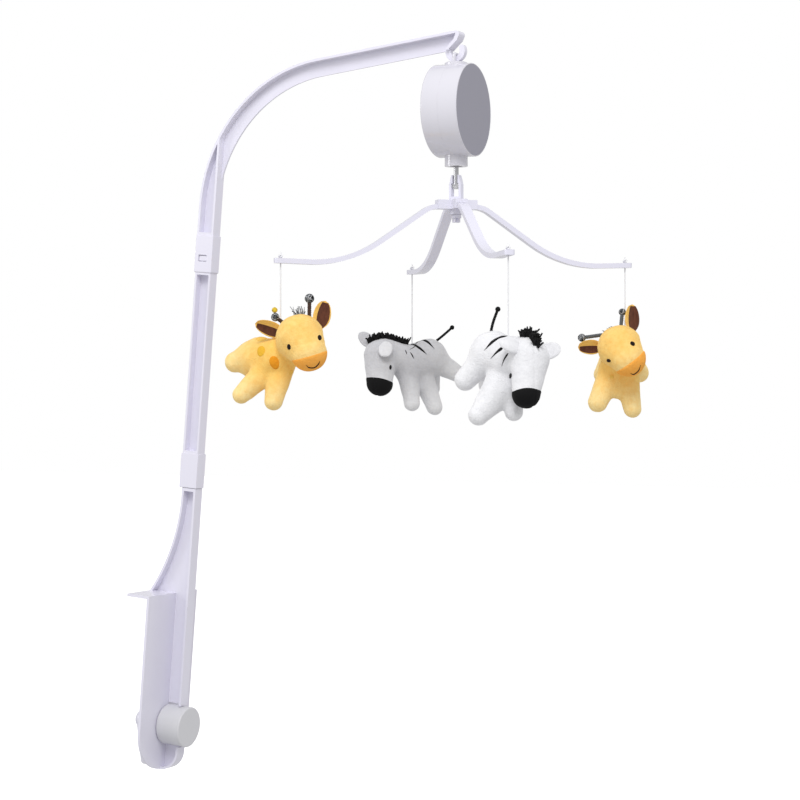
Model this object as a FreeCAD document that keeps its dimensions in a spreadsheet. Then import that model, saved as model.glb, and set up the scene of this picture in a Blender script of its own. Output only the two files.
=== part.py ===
"""Crib mobile: clamp bracket, three-piece arm, wind-up music box, spider and four plush toys.

Millimetres, +Z up.  +X is the way the arm reaches, the channel of the arm opens to -Y.
The origin is on the underside of the ledge that sits on the crib rail, under the mast.
The arm leans over its rail by lean_angle; everything that hangs from its hook is plumb.
"""
import FreeCAD, Part
import Sketcher
import math
import os

App = FreeCAD
V = App.Vector
X_AXIS = V(1, 0, 0)
Y_AXIS = V(0, 1, 0)
Z_AXIS = V(0, 0, 1)

doc = App.newDocument("CribMobile")

# ---------------------------------------------------------------- driving dimensions
DRIVING = {
    # arm and bracket, in the arm's own frame: u along the boom, v up the mast
    "lean_angle": 4.7,
    "ledge_reach": 22.0,
    "plate_shift": -2.5,
    "plate_width": 79.0,
    "plate_sheet": 2.5,
    "bolt_drop": 120.0,
    "round_drop": 123.0,
    "mast_left": 4.0,
    "mast_right": 21.0,
    "mast_depth": 11.6,
    "flange": 2.2,
    "web_front": 2.0,
    "web_sheet": 2.0,
    "neck_top": 102.0,
    "socket_length": 34.0,
    "spigot_length": 28.0,
    "mast_top": 336.0,
    "sleeve_proud": 0.8,
    "sleeve_gap": 0.15,
    "gusset_radius": 176.0,
    "boom_centre_rise": 362.2,
    "boom_radius": 140.0,
    "boom_band": 15.0,
    "boom_slope": 10.7,
    "boom_end": 255.5,
    "hook_u": 254.7,
    "hook_v": 508.4,
    "hook_outer": 9.4,
    "hook_inner": 4.5,
    "hook_sheet": 5.0,
    # clamp
    "bolt_radius": 3.0,
    "bolt_clear": 0.1,
    "bolt_head_radius": 8.5,
    "jaw_gap": 21.0,
    "jaw_sheet": 4.5,
    "jaw_reach": 46.0,
    "jaw_half": 7.0,
    "jaw_turn": 15.0,
    "knob_radius": 18.75,
    "knob_length": 26.0,
    # music box, measured down from the hook's centre
    "case_turn": 4.0,
    "case_drop": 51.6,
    "case_radius": 40.3,
    "case_back": 17.2,
    "case_front": 16.4,
    "case_wall": 1.8,
    "eye_rod": 1.6,
    "neck_radius": 10.0,
    "neck_drop": 100.0,
    # movement
    "barrel_rise": 6.0,
    "arbor_radius": 1.5,
    "tooth_module": 0.75,
    "pinion_teeth": 12,
    "crown_teeth": 36,
    "fine_module": 0.6,
    "wheel_teeth": 36,
    "fly_teeth": 9,
    "drum_radius": 6.0,
    "shaft_radius": 2.1,
    # spider
    "spider_turn": -3.0,
    "spider_reach": 155.0,
    "spider_arm_wide": 8.6,
    "spider_arm_thick": 4.2,
    "spider_root_drop": 135.2,
    "spider_fall": 49.6,
    "string_radius": 0.6,
    "string_bottom_drop": 250.0,
}
sheet = doc.addObject("Spreadsheet::Sheet", "Sizes")
for row, (alias, value) in enumerate(DRIVING.items(), start=1):
    sheet.set("A%d" % row, alias)
    sheet.set("B%d" % row, str(value))
    sheet.setAlias("B%d" % row, alias)
doc.recompute()


def size(alias):
    """A driving dimension as a plain number."""
    return float(getattr(sheet, alias))


LEAN = math.radians(size("lean_angle"))
ARM_TURN = App.Rotation(Y_AXIS, size("lean_angle"))
ARM_PLACE = App.Placement(-ARM_TURN.multVec(V(-size("ledge_reach") / 2, 0, 0)), ARM_TURN)
HOOK = ARM_PLACE.multVec(V(size("hook_u"), 0, size("hook_v")))
CASE_TURN = App.Rotation(Z_AXIS, size("case_turn"))
CASE_PLACE = App.Placement(HOOK - V(0, 0, size("case_drop")), CASE_TURN)
HANG_PLACE = App.Placement(HOOK, CASE_TURN)
SPIDER_PLACE = App.Placement(HOOK, App.Rotation(Z_AXIS, size("spider_turn")))

nodes = []


def keep(thing, label, place=None):
    """Name a finished sub-part and put it in its place."""
    thing.Label = label
    if place is not None:
        thing.Placement = place.multiply(thing.Placement)
    nodes.append(thing)
    return thing


def bind(thing, **sizes):
    """Bind properties of a document object to expressions of the sheet."""
    for prop, expression in sizes.items():
        thing.setExpression(prop, expression)
    return thing


def cell(expression):
    """Spell out an expression, with each alias of the sheet given its full name."""
    words = []
    for word in expression.split():
        words.append("Sizes." + word if word in DRIVING else word)
    return " ".join(words)


def box(name, length, width, height, at):
    """A box whose three sizes are expressions, with its low corner at a point."""
    item = doc.addObject("Part::Box", name)
    bind(item, Length=cell(length), Width=cell(width), Height=cell(height))
    item.Placement = App.Placement(at, App.Rotation())
    return item


def rod(name, radius, length, at, along=Z_AXIS):
    """A cylinder whose radius and length are expressions, from a point along a direction."""
    item = doc.addObject("Part::Cylinder", name)
    bind(item, Radius=cell(radius), Height=cell(length))
    item.Placement = App.Placement(at, App.Rotation(Z_AXIS, along))
    return item


def fuse(name, items):
    joined = doc.addObject("Part::MultiFuse", name)
    joined.Shapes = items
    joined.Refine = True
    return joined


def cut(name, base, tool):
    less = doc.addObject("Part::Cut", name)
    less.Base = base
    less.Tool = tool
    less.Refine = True
    return less


def outward(solid):
    """The same solid with its faces turned outward."""
    turned = solid.copy()
    if turned.Volume < 0:
        turned.reverse()
    return turned


def shape_node(label, shape, place=None):
    """A sub-part whose shape is made with Part's own functions."""
    item = doc.addObject("Part::Feature", label)
    solids = [outward(solid) for solid in shape.Solids]
    item.Shape = solids[0] if len(solids) == 1 else Part.makeCompound(solids)
    return keep(item, label, place)


# ---------------------------------------------------------------- sketches and bodies
def new_body(label):
    body = doc.addObject("PartDesign::Body", label)
    body.Label = label
    return body


def new_sketch(body, role, offset=0.0):
    """A sketch on one of the body's own origin planes, moved along its normal."""
    sketch = body.newObject("Sketcher::SketchObject", body.Name + "_sketch")
    plane = [item for item in body.Origin.OriginFeatures if item.Role == role][0]
    sketch.AttachmentSupport = [(plane, "")]
    sketch.MapMode = "FlatFace"
    sketch.AttachmentOffset = App.Placement(V(0, 0, offset), App.Rotation())
    return sketch


def draw(sketch, start, *steps):
    """Draw a closed outline: a step is a point, or a pair (middle, end) for an arc."""
    here = V(start[0], start[1], 0)
    first = here
    for step in steps:
        if isinstance(step[0], tuple):
            middle = V(step[0][0], step[0][1], 0)
            there = V(step[1][0], step[1][1], 0)
            sketch.addGeometry(Part.Arc(here, middle, there), False)
        else:
            there = V(step[0], step[1], 0)
            sketch.addGeometry(Part.LineSegment(here, there), False)
        here = there
    if here.distanceToPoint(first) > 1e-6:
        sketch.addGeometry(Part.LineSegment(here, first), False)
    return sketch


def draw_circle(sketch, centre, radius):
    """A circle whose radius is bound to an expression."""
    circle = Part.Circle(V(centre[0], centre[1], 0), Z_AXIS, 1.0)
    index = sketch.addGeometry(circle, False)
    held = sketch.addConstraint(Sketcher.Constraint("Radius", index, size_of(radius)))
    sketch.setExpression("Constraints[%d]" % held, cell(radius))
    return sketch


def size_of(expression):
    """The number that an expression of the sheet gives now."""
    names = {}
    for alias in DRIVING:
        if alias in expression:
            names[alias] = size(alias)
    total = 0.0
    sign = 1.0
    for word in expression.split():
        if word == "+":
            sign = 1.0
        elif word == "-":
            sign = -1.0
        else:
            total += sign * (names[word] if word in names else float(word))
    return total


def pad(body, sketch, length, both=True, reverse=False):
    feature = body.newObject("PartDesign::Pad", body.Name + "_pad")
    feature.Profile = sketch
    feature.Midplane = both
    feature.Reversed = reverse
    bind(feature, Length=cell(length))
    return feature


def pocket(body, sketch, length, both=False, reverse=False):
    feature = body.newObject("PartDesign::Pocket", body.Name + "_pocket")
    feature.Profile = sketch
    feature.Midplane = both
    feature.Reversed = reverse
    bind(feature, Length=cell(length))
    return feature


def revolve(body, sketch, axis):
    feature = body.newObject("PartDesign::Revolution", body.Name + "_turned")
    feature.Profile = sketch
    feature.ReferenceAxis = (sketch, [axis])
    feature.Angle = 360.0
    return feature


def polar(centre, radius, degrees):
    angle = math.radians(degrees)
    return (centre[0] + radius * math.cos(angle), centre[1] + radius * math.sin(angle))


# ---------------------------------------------------------------- arm pieces
LEFT = size("mast_left")
RIGHT = size("mast_right")
HALF = size("mast_depth") / 2
FLANGE = size("flange")
WEB = size("web_front")
GAP = size("sleeve_gap")
SLEEVE_LOW = size("neck_top")
SLEEVE_TOP = SLEEVE_LOW + size("socket_length")
MAST_TOP = size("mast_top")
BOLT_V = -size("bolt_drop")
ROUND_V = -size("round_drop")
PLATE_HALF = size("plate_width") / 2
SHEET = size("plate_sheet")


def spigot(name, low, high):
    """A rectangular plug that fills the inside of a sleeve with sliding room."""
    room = size("flange") - size("sleeve_proud") + GAP
    long_side = "mast_right - mast_left - %s" % (2 * room)
    deep_side = "mast_depth - %s" % (2 * room)
    return box(name, long_side, deep_side, str(high - low), V(LEFT + room, -HALF + room, low))


def lower_arm():
    """Bracket: clamp plate, rail ledge, gusset web with its flanges, and the spigot on top."""
    ledge = size("ledge_reach")
    low_y = size("plate_shift") - PLATE_HALF
    high_y = size("plate_shift") + PLATE_HALF
    mid_y = size("plate_shift")
    plate = new_body("bracket_plate")
    outline = new_sketch(plate, "YZ_Plane")
    draw(outline, (low_y, 0), (low_y, ROUND_V), ((mid_y, ROUND_V - PLATE_HALF), (high_y, ROUND_V)), (high_y, 0))
    pad(plate, outline, "plate_sheet", both=False)
    ledge_body = box("ledge", "ledge_reach + plate_sheet", "plate_width", "plate_sheet",
                     V(-ledge, low_y, 0))
    # web: gusset over the ledge, mast, and the tail that runs down the plate
    radius = size("gusset_radius")
    foot = -ledge
    swing = math.degrees(math.acos(1 - (LEFT + 2.0 - foot) / radius))
    centre = (LEFT + 2.0 - radius, SHEET + radius * math.sin(math.radians(swing)))
    tail = ROUND_V - PLATE_HALF + RIGHT - SHEET
    corner = RIGHT - SHEET
    web = new_body("bracket_web")
    profile = new_sketch(web, "XZ_Plane", -(WEB + size("web_sheet")))
    draw(profile, (foot, SHEET / 2), (foot, SHEET),
         (polar(centre, radius, -swing / 2), polar(centre, radius, 0)),
         (LEFT + 2.0, SLEEVE_LOW), (RIGHT, SLEEVE_LOW), (RIGHT, tail),
         (polar((SHEET, tail), corner, -45), (SHEET, tail - corner)), (SHEET / 2, tail - corner),
         (SHEET / 2, SHEET / 2))
    pad(web, profile, "web_sheet", both=False)
    # flanges: the curved one over the gusset, the straight one down the back and round the tail
    curved = new_body("bracket_curved_flange")
    strip = new_sketch(curved, "XZ_Plane")
    inner = radius + FLANGE
    draw(strip, (foot, SHEET / 2), (foot, SHEET),
         (polar(centre, radius, -swing / 2), polar(centre, radius, 0)),
         (LEFT + 2.0, SLEEVE_LOW), (LEFT + 2.0 + FLANGE, SLEEVE_LOW),
         (LEFT + 2.0 + FLANGE, centre[1]),
         (polar(centre, inner, -swing / 2), polar(centre, inner, -swing)),
         (foot + FLANGE, SHEET / 2))
    pad(curved, strip, "mast_depth")
    straight = new_body("bracket_back_flange")
    strip = new_sketch(straight, "XZ_Plane")
    draw(strip, (RIGHT, SLEEVE_LOW), (RIGHT, tail),
         (polar((SHEET, tail), corner, -45), (SHEET, tail - corner)),
         (SHEET / 2, tail - corner), (SHEET / 2, tail - corner + FLANGE),
         (SHEET, tail - corner + FLANGE),
         (polar((SHEET, tail), corner - FLANGE, -45), (RIGHT - FLANGE, tail)),
         (RIGHT - FLANGE, SLEEVE_LOW))
    pad(straight, strip, "mast_depth")
    cap = box("neck_cap", "mast_right - mast_left - 2", "mast_depth", "3",
              V(LEFT + 2.0, -HALF, SLEEVE_LOW - 3.0))
    plug = spigot("lower_spigot", SLEEVE_LOW - 1.0, SLEEVE_LOW + size("spigot_length"))
    whole = fuse("bracket_blank", [plate, ledge_body, web, curved, straight, cap, plug])
    hole = rod("bolt_hole", "bolt_radius + bolt_clear", "60", V(-20, 0, BOLT_V), X_AXIS)
    room = rod("knob_room", "knob_radius + 1.2", "60", V(SHEET, 0, BOLT_V), X_AXIS)
    keep(cut("lower_arm", whole, fuse("bracket_cuts", [hole, room])), "lower_arm", ARM_PLACE)


def sleeve(name, low, high):
    """The outside of a box collar, a little proud of the mast."""
    proud = size("sleeve_proud")
    outer = box(name + "_outer", "mast_right - mast_left + 2 * sleeve_proud",
                "mast_depth + 2 * sleeve_proud", str(high - low),
                V(LEFT - proud, -HALF - proud, low))
    return outer


def middle_arm():
    """Straight channel with a box sleeve at each end; the top sleeve has a latch window."""
    low = SLEEVE_LOW
    low_end = low + size("socket_length") - 2.0
    high_end = MAST_TOP - size("socket_length")
    channel = box("middle_block", "mast_right - mast_left", "mast_depth", str(MAST_TOP - low - 4.0),
                  V(LEFT, -HALF, low + 2.0))
    bottom = sleeve("bottom_sleeve", low + 0.3, low_end)
    top = sleeve("top_sleeve", high_end, MAST_TOP)
    trench = box("middle_trench", "mast_right - mast_left - 2 * flange",
                 "mast_depth / 2 + web_front", str(high_end - low_end - 5.0),
                 V(LEFT + FLANGE, -HALF, low_end + 2.5))
    recess = box("middle_recess", "mast_right - mast_left - 2 * flange", "20",
                 str(high_end - low_end - 5.0), V(LEFT + FLANGE, WEB + size("web_sheet"), low_end + 2.5))
    room = FLANGE - size("sleeve_proud")
    plug_low = box("low_socket", "mast_right - mast_left - %s" % (2 * room),
                   "mast_depth - %s" % (2 * room), str(size("spigot_length") + 1.0),
                   V(LEFT + room, -HALF + room, low))
    plug_high = box("high_socket", "mast_right - mast_left - %s" % (2 * room),
                    "mast_depth - %s" % (2 * room), str(size("spigot_length") + 1.0),
                    V(LEFT + room, -HALF + room, MAST_TOP - size("spigot_length") - 1.0))
    window = box("latch_window", "9", "12", "6", V(LEFT + 3.0, -HALF - 6.0, MAST_TOP - 24.0))
    whole = fuse("middle_blank", [channel, bottom, top])
    keep(cut("middle_arm", whole, fuse("middle_cuts", [trench, recess, plug_low, plug_high, window])),
         "middle_arm", ARM_PLACE)


def boom_points():
    """Centre of the bend, the direction of the boom and where its straight part starts."""
    radius = size("boom_radius")
    centre = (LEFT - 0.6 + radius, size("boom_centre_rise"))
    slope = size("boom_slope")
    return centre, radius, slope


def upper_arm():
    """Curved boom: web, outer flange, straight rib of the mast, end rim and the hook."""
    centre, radius, slope = boom_points()
    band = size("boom_band")
    inner = radius - band
    turn = 90.0 + slope
    along = (math.cos(math.radians(slope)), math.sin(math.radians(slope)))
    top = polar(centre, radius, turn)
    under = polar(centre, inner, turn)
    reach = (size("boom_end") - top[0]) / along[0]
    end_top = (top[0] + reach * along[0], top[1] + reach * along[1])
    hook = (size("hook_u"), size("hook_v"))
    outer_r = size("hook_outer")
    inner_r = size("hook_inner")
    start = LEFT - 0.6
    merge = math.degrees(math.acos((centre[0] - RIGHT) / inner))
    back = (hook[0] - outer_r * 0.99, hook[1] + 0.5)
    run = (back[0] - 3.0 - under[0]) / along[0]
    end_under = (under[0] + run * along[0], under[1] + run * along[1])
    mouth = polar(hook, inner_r, 172)
    nose = (end_top[0] + 3.3, end_top[1] - 4.4)
    crown = (end_top[0] + 2.6, end_top[1] - 0.9)
    chin = (nose[0] - 1.4, nose[1] - 3.8)
    throat = (chin[0] - 7.6, chin[1] - 8.0)

    web = new_body("boom_web")
    profile = new_sketch(web, "XZ_Plane", -(WEB + size("web_sheet")))
    draw(profile, (start, MAST_TOP), (start, centre[1]),
         (polar(centre, radius, 135 + slope / 2), top), end_top, (crown, nose), chin,
         throat, mouth, (back[0], back[1]), end_under, under,
         (polar(centre, inner, 135 + slope / 2), polar(centre, inner, 180 - merge)), (RIGHT, MAST_TOP))
    pad(web, profile, "web_sheet", both=False)

    rim = new_body("boom_rim")
    strip = new_sketch(rim, "XZ_Plane")
    small = radius - FLANGE
    low_top = polar(centre, small, turn)
    draw(strip, (start, MAST_TOP), (start, centre[1]),
         (polar(centre, radius, 135 + slope / 2), top), end_top, (crown, nose), chin, throat, mouth,
         (mouth[0] - 2.6, mouth[1]), (throat[0] - 2.8, throat[1] + 0.6), (chin[0] - 3.4, chin[1] + 0.9),
         (low_top[0] + (reach - 0.4) * along[0], low_top[1] + (reach - 0.4) * along[1]), low_top,
         (polar(centre, small, 135 + slope / 2), (start + FLANGE, centre[1])), (start + FLANGE, MAST_TOP))
    pad(rim, strip, "mast_depth")

    rib = new_body("boom_rib")
    strip = new_sketch(rib, "XZ_Plane")
    meet = math.degrees(math.acos((centre[0] - RIGHT + FLANGE) / (radius - 1.0)))
    far = math.degrees(math.acos((centre[0] - RIGHT) / (radius - 1.0)))
    draw(strip, (RIGHT - FLANGE, MAST_TOP), polar(centre, radius - 1.0, 180 - meet),
         polar(centre, radius - 1.0, 180 - far), (RIGHT, MAST_TOP))
    pad(rib, strip, "mast_depth")

    hook_body = new_body("boom_hook")
    strip = new_sketch(hook_body, "XZ_Plane")
    middle_r = (outer_r + inner_r) / 2
    tip_mid = polar(hook, middle_r, 48)
    draw(strip, polar(hook, outer_r, 176), (polar(hook, outer_r, -80), polar(hook, outer_r, 30)),
         (tip_mid, polar(hook, inner_r, 30)), (polar(hook, inner_r, -80), mouth), throat,
         (throat[0] - 4.0, throat[1] + 1.5))
    pad(hook_body, strip, "hook_sheet")

    cap = box("mast_cap", "mast_right - mast_left + 0.6", "mast_depth", "3", V(start, -HALF, MAST_TOP))
    plug = spigot("upper_spigot", MAST_TOP - size("spigot_length"), MAST_TOP + 1.0)
    latch = box("latch", "8", "3", "4.6", V(LEFT + 3.5, -HALF + 0.2, MAST_TOP - 23.3))
    blank = fuse("boom_blank", [web, rim, rib, hook_body, cap, plug, latch])
    keep(blank, "upper_arm", ARM_PLACE)


# ---------------------------------------------------------------- clamp
def clamp():
    """Bolt with a round head, the finger jaw it carries, and the screw knob with its cap."""
    gap = size("jaw_gap")
    jaw = size("jaw_sheet")
    head = -(gap + jaw)
    knob_start = SHEET + 0.1
    shank = rod("bolt_shank", "bolt_radius", str(-head + knob_start + 8.0), V(head, 0, BOLT_V), X_AXIS)
    dome = doc.addObject("Part::Sphere", "bolt_dome")
    bind(dome, Radius=cell("bolt_head_radius + 1"))
    dome.Placement = App.Placement(V(head + 4.6, 0, BOLT_V), App.Rotation())
    trim = rod("dome_trim", "bolt_head_radius + 9", "60", V(head, 0, BOLT_V), X_AXIS)
    keep(fuse("clamp_bolt", [cut("bolt_head", dome, trim), shank]), "clamp_bolt", ARM_PLACE)

    finger = new_body("clamp_jaw")
    outline = new_sketch(finger, "YZ_Plane", head)
    half = size("jaw_half")
    reach = size("jaw_reach")
    turn = -90.0 + size("jaw_turn")
    pivot = (0.0, BOLT_V)
    far = polar(pivot, reach - half, turn)
    draw(outline, polar(pivot, half + 1, turn + 90), (polar(pivot, half + 1, turn + 180),
         polar(pivot, half + 1, turn - 90)), polar(far, half, turn - 90),
         (polar(far, half, turn), polar(far, half, turn + 90)))
    pad(finger, outline, "jaw_sheet", both=False)
    bore = new_sketch(finger, "YZ_Plane", head)
    draw_circle(bore, pivot, "bolt_radius")
    pocket(finger, bore, "jaw_sheet", both=False, reverse=True)
    keep(finger, "clamp_jaw", ARM_PLACE)

    knob = new_body("clamp_knob")
    profile = new_sketch(knob, "XZ_Plane")
    radius = size("knob_radius")
    end = knob_start + size("knob_length")
    bore_r = size("bolt_radius") + size("bolt_clear")
    draw(profile, (knob_start, bore_r), (knob_start, radius - 3.0),
         ((knob_start + 0.9, radius - 0.9), (knob_start + 3.0, radius - 0.2)),
         (end - 1.6, radius - 0.2), (end - 1.6, radius - 2.4), (end - 4.0, radius - 2.4),
         (end - 4.0, bore_r))
    revolve(knob, profile, "H_Axis")
    keep(knob, "clamp_knob", ARM_PLACE.multiply(App.Placement(V(0, 0, BOLT_V), App.Rotation())))

    cap = new_body("clamp_knob_cap")
    profile = new_sketch(cap, "XZ_Plane")
    draw(profile, (end - 4.0, 0), (end - 4.0, radius - 2.5), (end - 1.5, radius - 2.5),
         (end - 1.5, radius), ((end - 0.5, radius - 0.25), (end, radius - 1.2)), (end, 0))
    revolve(cap, profile, "H_Axis")
    keep(cap, "clamp_knob_cap", ARM_PLACE.multiply(App.Placement(V(0, 0, BOLT_V), App.Rotation())))


# ---------------------------------------------------------------- music box case
CASE_R = size("case_radius")
BACK = -size("case_back")
FRONT = size("case_front")
WALL = size("case_wall")
SEAM = -1.0
BARREL_Z = size("barrel_rise")


def case_shells():
    """Two round cups that meet at the seam, with the neck and the eye on the back cup."""
    back = new_body("back_cup")
    profile = new_sketch(back, "XZ_Plane")
    draw(profile, (BACK, 0), (BACK, CASE_R - 1.5),
         ((BACK + 0.44, CASE_R - 0.44), (BACK + 1.5, CASE_R)), (SEAM - 0.05, CASE_R),
         (SEAM - 0.05, CASE_R - WALL), (BACK + WALL, CASE_R - WALL), (BACK + WALL, 0))
    revolve(back, profile, "H_Axis")
    front = new_body("front_cup")
    profile = new_sketch(front, "XZ_Plane")
    rim = CASE_R - 0.9
    draw(profile, (SEAM, CASE_R), (FRONT - 0.6, CASE_R),
         ((FRONT - 0.15, CASE_R - 0.2), (FRONT, CASE_R - 0.6)), (FRONT, rim), (FRONT - 1.2, rim),
         (FRONT - 1.2, 0), (FRONT - 1.2 - WALL, 0), (FRONT - 1.2 - WALL, CASE_R - WALL),
         (SEAM, CASE_R - WALL))
    revolve(front, profile, "H_Axis")
    # neck and collar run through the seam plane, so each cup has its half of them
    neck = size("neck_radius")
    drop = size("neck_drop") - size("case_drop")
    neck_out = rod("neck_outside", "neck_radius", str(drop - CASE_R + 4.0), V(0, 0, -drop))
    collar = rod("collar_outside", "neck_radius", "4.2", V(0, 0, CASE_R - 3.2))
    inside = rod("case_inside", "case_radius - case_wall", "60", V(-30, 0, 0), X_AXIS)
    trunk = cut("case_trunks", fuse("case_trunk_pair", [neck_out, collar]), inside)
    neck_bore = rod("neck_bore", "shaft_radius + 3.4", str(drop), V(0, 0, -drop - 1))
    trunk = cut("case_trunk_bored", trunk, neck_bore)
    back_side = box("back_side", "60", "100", "140", V(SEAM - 0.05 - 60, -50, -70))
    front_side = box("front_side", "60", "100", "140", V(SEAM, -50, -70))
    for label, cup, side in (("case_back", back, back_side), ("case_front", front, front_side)):
        part = doc.addObject("Part::Common", label + "_trunk")
        part.Base = trunk
        part.Tool = side
        joined = fuse(label + "_blank", [cup, part])
        bore = rod(label + "_bore", "shaft_radius + 3.4", str(drop), V(0, 0, -drop - 1))
        if label == "case_back":
            key_hole = rod("arbor_hole", "arbor_radius + 0.1", "6", V(BACK - 2, 0, BARREL_Z), X_AXIS)
            bore = fuse("case_back_cuts", [bore, key_hole])
        keep(cut(label, joined, bore), label, CASE_PLACE)

    disc = new_body("front_disc")
    outline = new_sketch(disc, "YZ_Plane", FRONT - 1.15)
    draw_circle(outline, (0, 0), "case_radius - 0.95")
    pad(disc, outline, "1.1", both=False)
    keep(disc, "front_disc", CASE_PLACE)


def hanger_eye():
    """Arch that stands on the collar and hangs on the hook, with a flat foot."""
    rod_r = size("eye_rod")
    bar_z = -size("hook_inner") + rod_r + 0.05
    foot_z = -size("case_drop") + CASE_R + 1.0
    half = 5.2
    path_start = V(0, -half, foot_z + 0.4)
    edges = [
        Part.LineSegment(path_start, V(0, -half, bar_z - 2.6)).toShape(),
        Part.Arc(V(0, -half, bar_z - 2.6), V(0, -half + 0.76, bar_z - 0.76),
                 V(0, -half + 2.6, bar_z)).toShape(),
        Part.LineSegment(V(0, -half + 2.6, bar_z), V(0, half - 2.6, bar_z)).toShape(),
        Part.Arc(V(0, half - 2.6, bar_z), V(0, half - 0.76, bar_z - 0.76),
                 V(0, half, bar_z - 2.6)).toShape(),
        Part.LineSegment(V(0, half, bar_z - 2.6), V(0, half, foot_z + 0.4)).toShape(),
    ]
    wire = Part.Wire(edges)
    section = Part.Wire(Part.Circle(path_start, Z_AXIS, rod_r).toShape())
    arch = wire.makePipeShell([section], True, False)
    foot = Part.makeCylinder(8.2, 0.8, V(0, 0, foot_z))
    shape_node("hanger_eye", arch.fuse(foot).removeSplitter(), HANG_PLACE)


def winding_key():
    """Butterfly key, outside the back of the case, on its square-ended arbor."""
    wing = []
    for side in (-1, 1):
        lobe = Part.makeCylinder(7.0, 2.4, V(BACK - 9.0, side * 8.5, BARREL_Z), X_AXIS)
        eye = Part.makeCylinder(3.4, 6.0, V(BACK - 11.0, side * 9.0, BARREL_Z), X_AXIS)
        wing.append(lobe.cut(eye))
    stem = Part.makeCylinder(3.4, 7.6, V(BACK - 9.0, 0, BARREL_Z), X_AXIS)
    key = stem.fuse(wing)
    arbor_hole = Part.makeCylinder(size("arbor_radius"), 7.0, V(BACK - 6.6, 0, BARREL_Z), X_AXIS)
    shape_node("winding_key", key.cut(arbor_hole).removeSplitter(), CASE_PLACE)


# ---------------------------------------------------------------- movement
MODULE = size("tooth_module")
PINION_N = int(size("pinion_teeth"))
CROWN_N = int(size("crown_teeth"))
PINION_R = MODULE * PINION_N / 2
CROWN_R = MODULE * CROWN_N / 2
FINE = size("fine_module")
WHEEL_N = int(size("wheel_teeth"))
FLY_N = int(size("fly_teeth"))
WHEEL_R = FINE * WHEEL_N / 2
FLY_R = FINE * FLY_N / 2
MESH_Z = BARREL_Z - CROWN_R


def toothed_disc(count, pitch_r, addendum, dedendum, thick, share):
    """Spur gear about Z with straight-sided teeth, share of the pitch filled at the pitch line."""
    tip = pitch_r + addendum
    root = pitch_r - dedendum
    step = 2 * math.pi / count
    points = []
    for index in range(count):
        middle = index * step
        root_half = step * share * 0.66
        tip_half = step * share * 0.30
        for radius, angle in ((root, middle - root_half), (tip, middle - tip_half),
                              (tip, middle + tip_half), (root, middle + root_half)):
            points.append(V(radius * math.cos(angle), radius * math.sin(angle), 0))
    points.append(points[0])
    return Part.Face(Part.makePolygon(points)).extrude(V(0, 0, thick))


def crown_ring(count, pitch_r, width, base_x, tooth_h, share):
    """Crown teeth about X that stand towards +X on a flat ring."""
    teeth = []
    step = 2 * math.pi / count
    for index in range(count):
        half_root = pitch_r * step * share * 0.62
        half_tip = pitch_r * step * share * 0.30
        section = [V(base_x - 0.3, -half_root, pitch_r - width / 2),
                   V(base_x, -half_root, pitch_r - width / 2),
                   V(base_x + tooth_h, -half_tip, pitch_r - width / 2),
                   V(base_x + tooth_h, half_tip, pitch_r - width / 2),
                   V(base_x, half_root, pitch_r - width / 2),
                   V(base_x - 0.3, half_root, pitch_r - width / 2)]
        section.append(section[0])
        tooth = Part.Face(Part.makePolygon(section)).extrude(V(0, 0, width))
        tooth.rotate(V(0, 0, 0), X_AXIS, math.degrees((index + 0.5) * step))
        teeth.append(tooth)
    return teeth


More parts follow.
